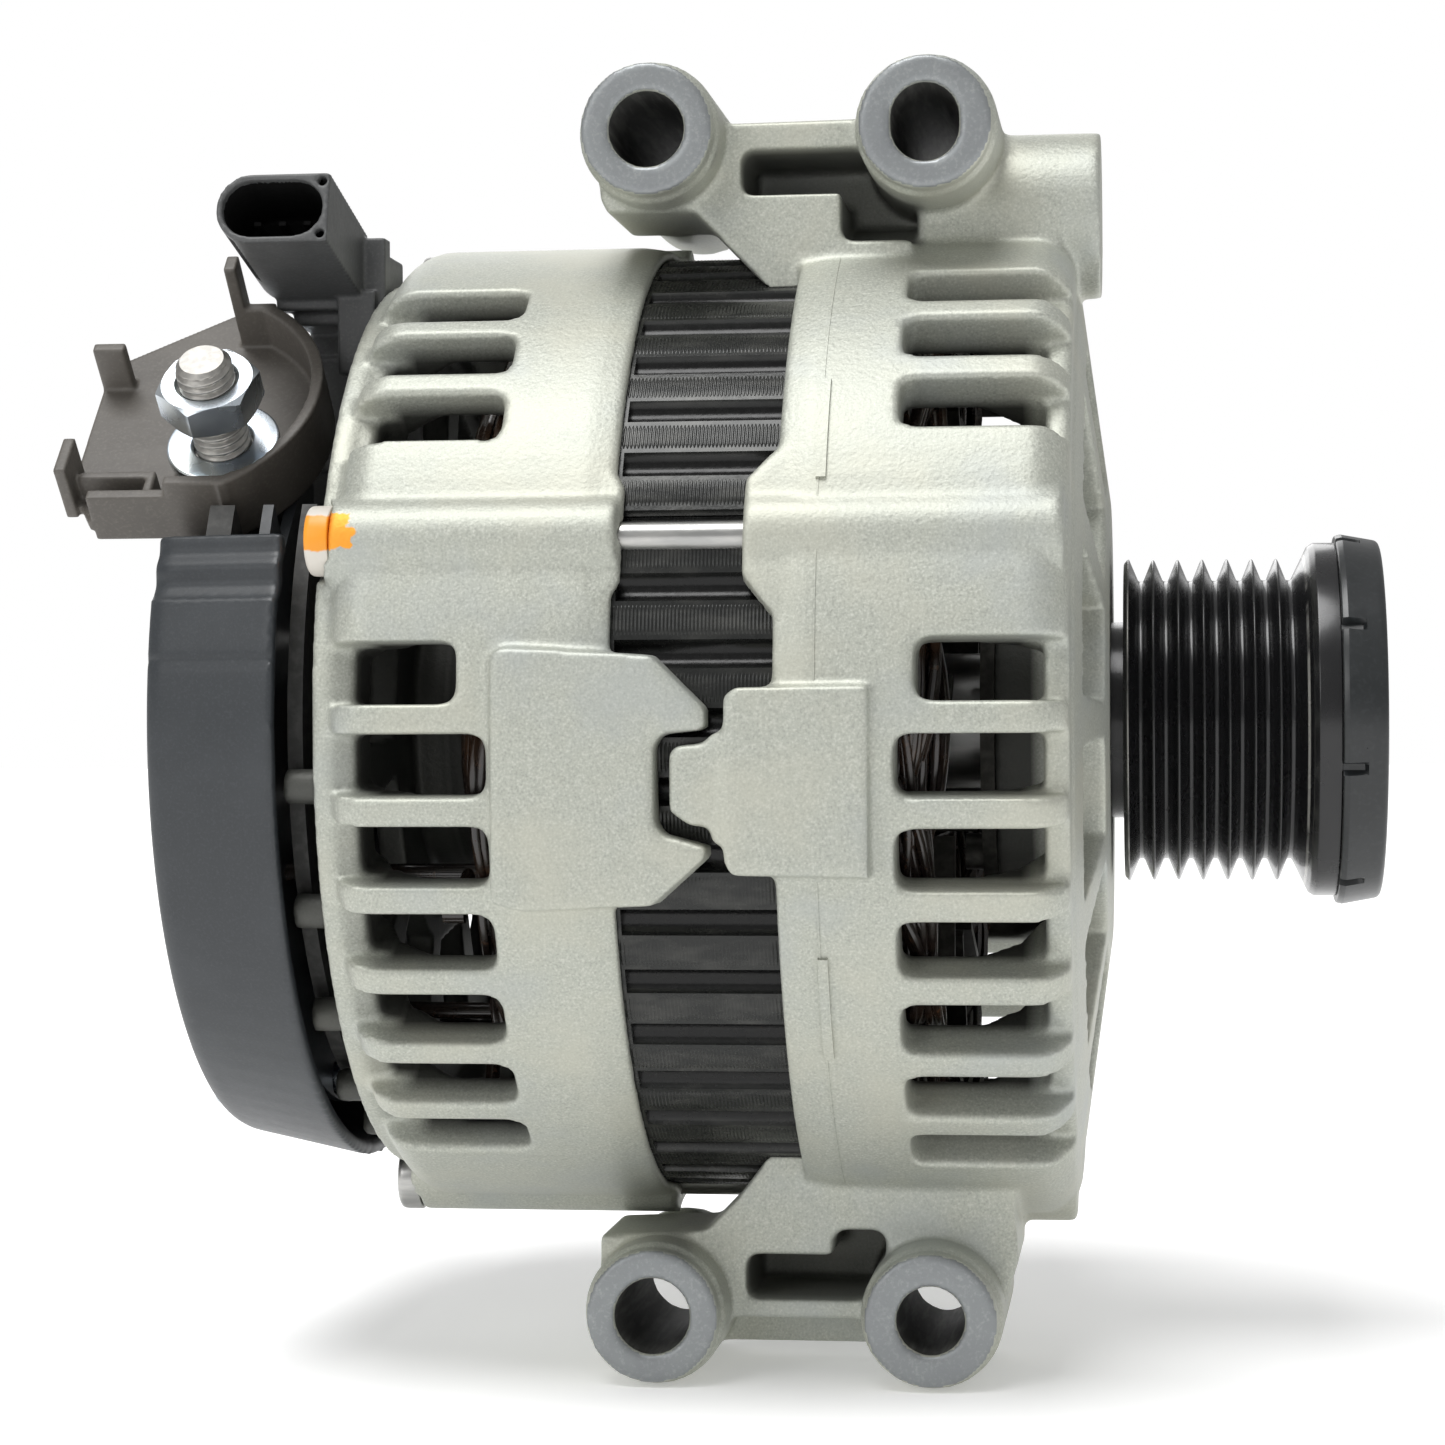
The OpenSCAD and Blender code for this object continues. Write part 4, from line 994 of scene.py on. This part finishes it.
def finish_cad_nodes():
    """Every CAD node gets its slot's material, or a darker one of painted shade where it sits in deep
    shade.
    """
    # painted shade: the rotor, fans, bearing retainer plate and its screws deep inside get a
    # near-black metal
    dark = metal("rotor_steel_painted_shade", (0.035, 0.034, 0.031), (0.08, 0.078, 0.07), (0.45, 0.6), 600).material
    shaded = ("front_fan", "rear_fan", "front_claw_pole", "rear_claw_pole", "rotor_core",
              "bearing_retainer_plate", "retainer_screws")
    own = {node: dark for node in shaded}
    # painted shade: the connector's pins deep in the socket get the socket's near-black
    own["connector_pins"] = socket_shade().material
    # painted shade: the rectifier's plates under the cover are near-black
    own["positive_heat_sink"] = own["negative_heat_sink"] = heat_sink_painted_shade().material
    # painted shade: the rectifier board gets the black cover plastic instead of its light insulating
    # plastic
    own["rectifier_board"] = finish_of("black_cover_plastic")
    for node, piece in frame["nodes"].items():
        piece.data.materials.clear()
        piece.data.materials.append(own.get(node) or finish_of(SLOT_OF[node]))


def stage():
    """A pale floor under the object."""
    floor_z = cad_box[0][2]
    size = 6.0
    mesh = bpy.data.meshes.new("studio_floor")
    mesh.from_pydata([(-size, -size, floor_z), (size, -size, floor_z), (size, size, floor_z),
                      (-size, size, floor_z)], [], [(0, 1, 2, 3)])
    floor = bpy.data.objects.new("studio_floor", mesh)
    bpy.context.scene.collection.objects.link(floor)
    paint = Shader("studio_paper", (0.93, 0.93, 0.93), roughness=0.9, Specular_IOR_Level=0.1,
                   Emission_Color=(1, 1, 1, 1), Emission_Strength=0.25)
    paint.mix(paint.noise(3, 2), (0.9, 0.9, 0.9), 0.3)
    mesh.materials.append(paint.material)
    bpy.context.scene.view_settings.view_transform = "Standard"


def world():
    """A white surround, seen at full strength and lighting the object more gently."""
    surround = bpy.data.worlds.new("studio")
    surround.use_nodes = True
    tree = surround.node_tree
    background = tree.nodes["Background"]
    background.inputs["Color"].default_value = (1, 1, 1, 1)
    path = tree.nodes.new("ShaderNodeLightPath")
    strength = tree.nodes.new("ShaderNodeMapRange")
    strength.inputs["To Min"].default_value = 0.38
    strength.inputs["To Max"].default_value = 1.0
    tree.links.new(path.outputs["Is Camera Ray"], strength.inputs["Value"])
    tree.links.new(strength.outputs["Result"], background.inputs["Strength"])
    bpy.context.scene.world = surround


def soft_sun(name, towards, power, spread):
    """A far, wide light, so that the floor is as bright at the horizon as under the object."""
    data = bpy.data.lights.new(name, "SUN")
    data.energy, data.angle = power, math.radians(spread)
    lamp = bpy.data.objects.new(name, data)
    lamp.rotation_euler = Vector(towards).to_track_quat("-Z", "Y").to_euler()
    bpy.context.scene.collection.objects.link(lamp)


def lights():
    """One light from above, a weak one from the camera's side and one from behind."""
    soft_sun("top_light", (0.2, 0.3, -1), 2.35, 35)
    soft_sun("key_light", (0.55, 0.9, -0.45), 0.42, 25)
    soft_sun("back_light", (0.3, -1, -0.5), 0.7, 40)


def camera():
    """The photo's viewpoint: level with the shaft, turned a little towards the rear end."""
    data = bpy.data.cameras.new("camera")
    data.sensor_width = 36
    data.lens = 84.71
    data.clip_start, data.clip_end = 0.01, 50
    view = bpy.data.objects.new("camera", data)
    forward = Vector((-0.12721, 0.99188, -0.00102)).normalized()
    level = Vector((math.cos(math.radians(7.31)), math.sin(math.radians(7.31)), 0))
    roll = -0.005
    upright = level.cross(forward)
    right = level * math.cos(roll) + upright * math.sin(roll)
    up = upright * math.cos(roll) - level * math.sin(roll)
    view.matrix_world = Matrix((
        (right.x, up.x, -forward.x, -8.185 * MM), (right.y, up.y, -forward.y, -505.391 * MM),
        (right.z, up.z, -forward.z, 0.458 * MM), (0, 0, 0, 1)))
    bpy.context.scene.collection.objects.link(view)
    bpy.context.scene.camera = view


finish_cad_nodes()
brackets()
stator_skin()
windings()
bolts()
pulley()
pulley_cap()
brush_springs()
terminal()
mouldings()
stage()
world()
lights()
camera()
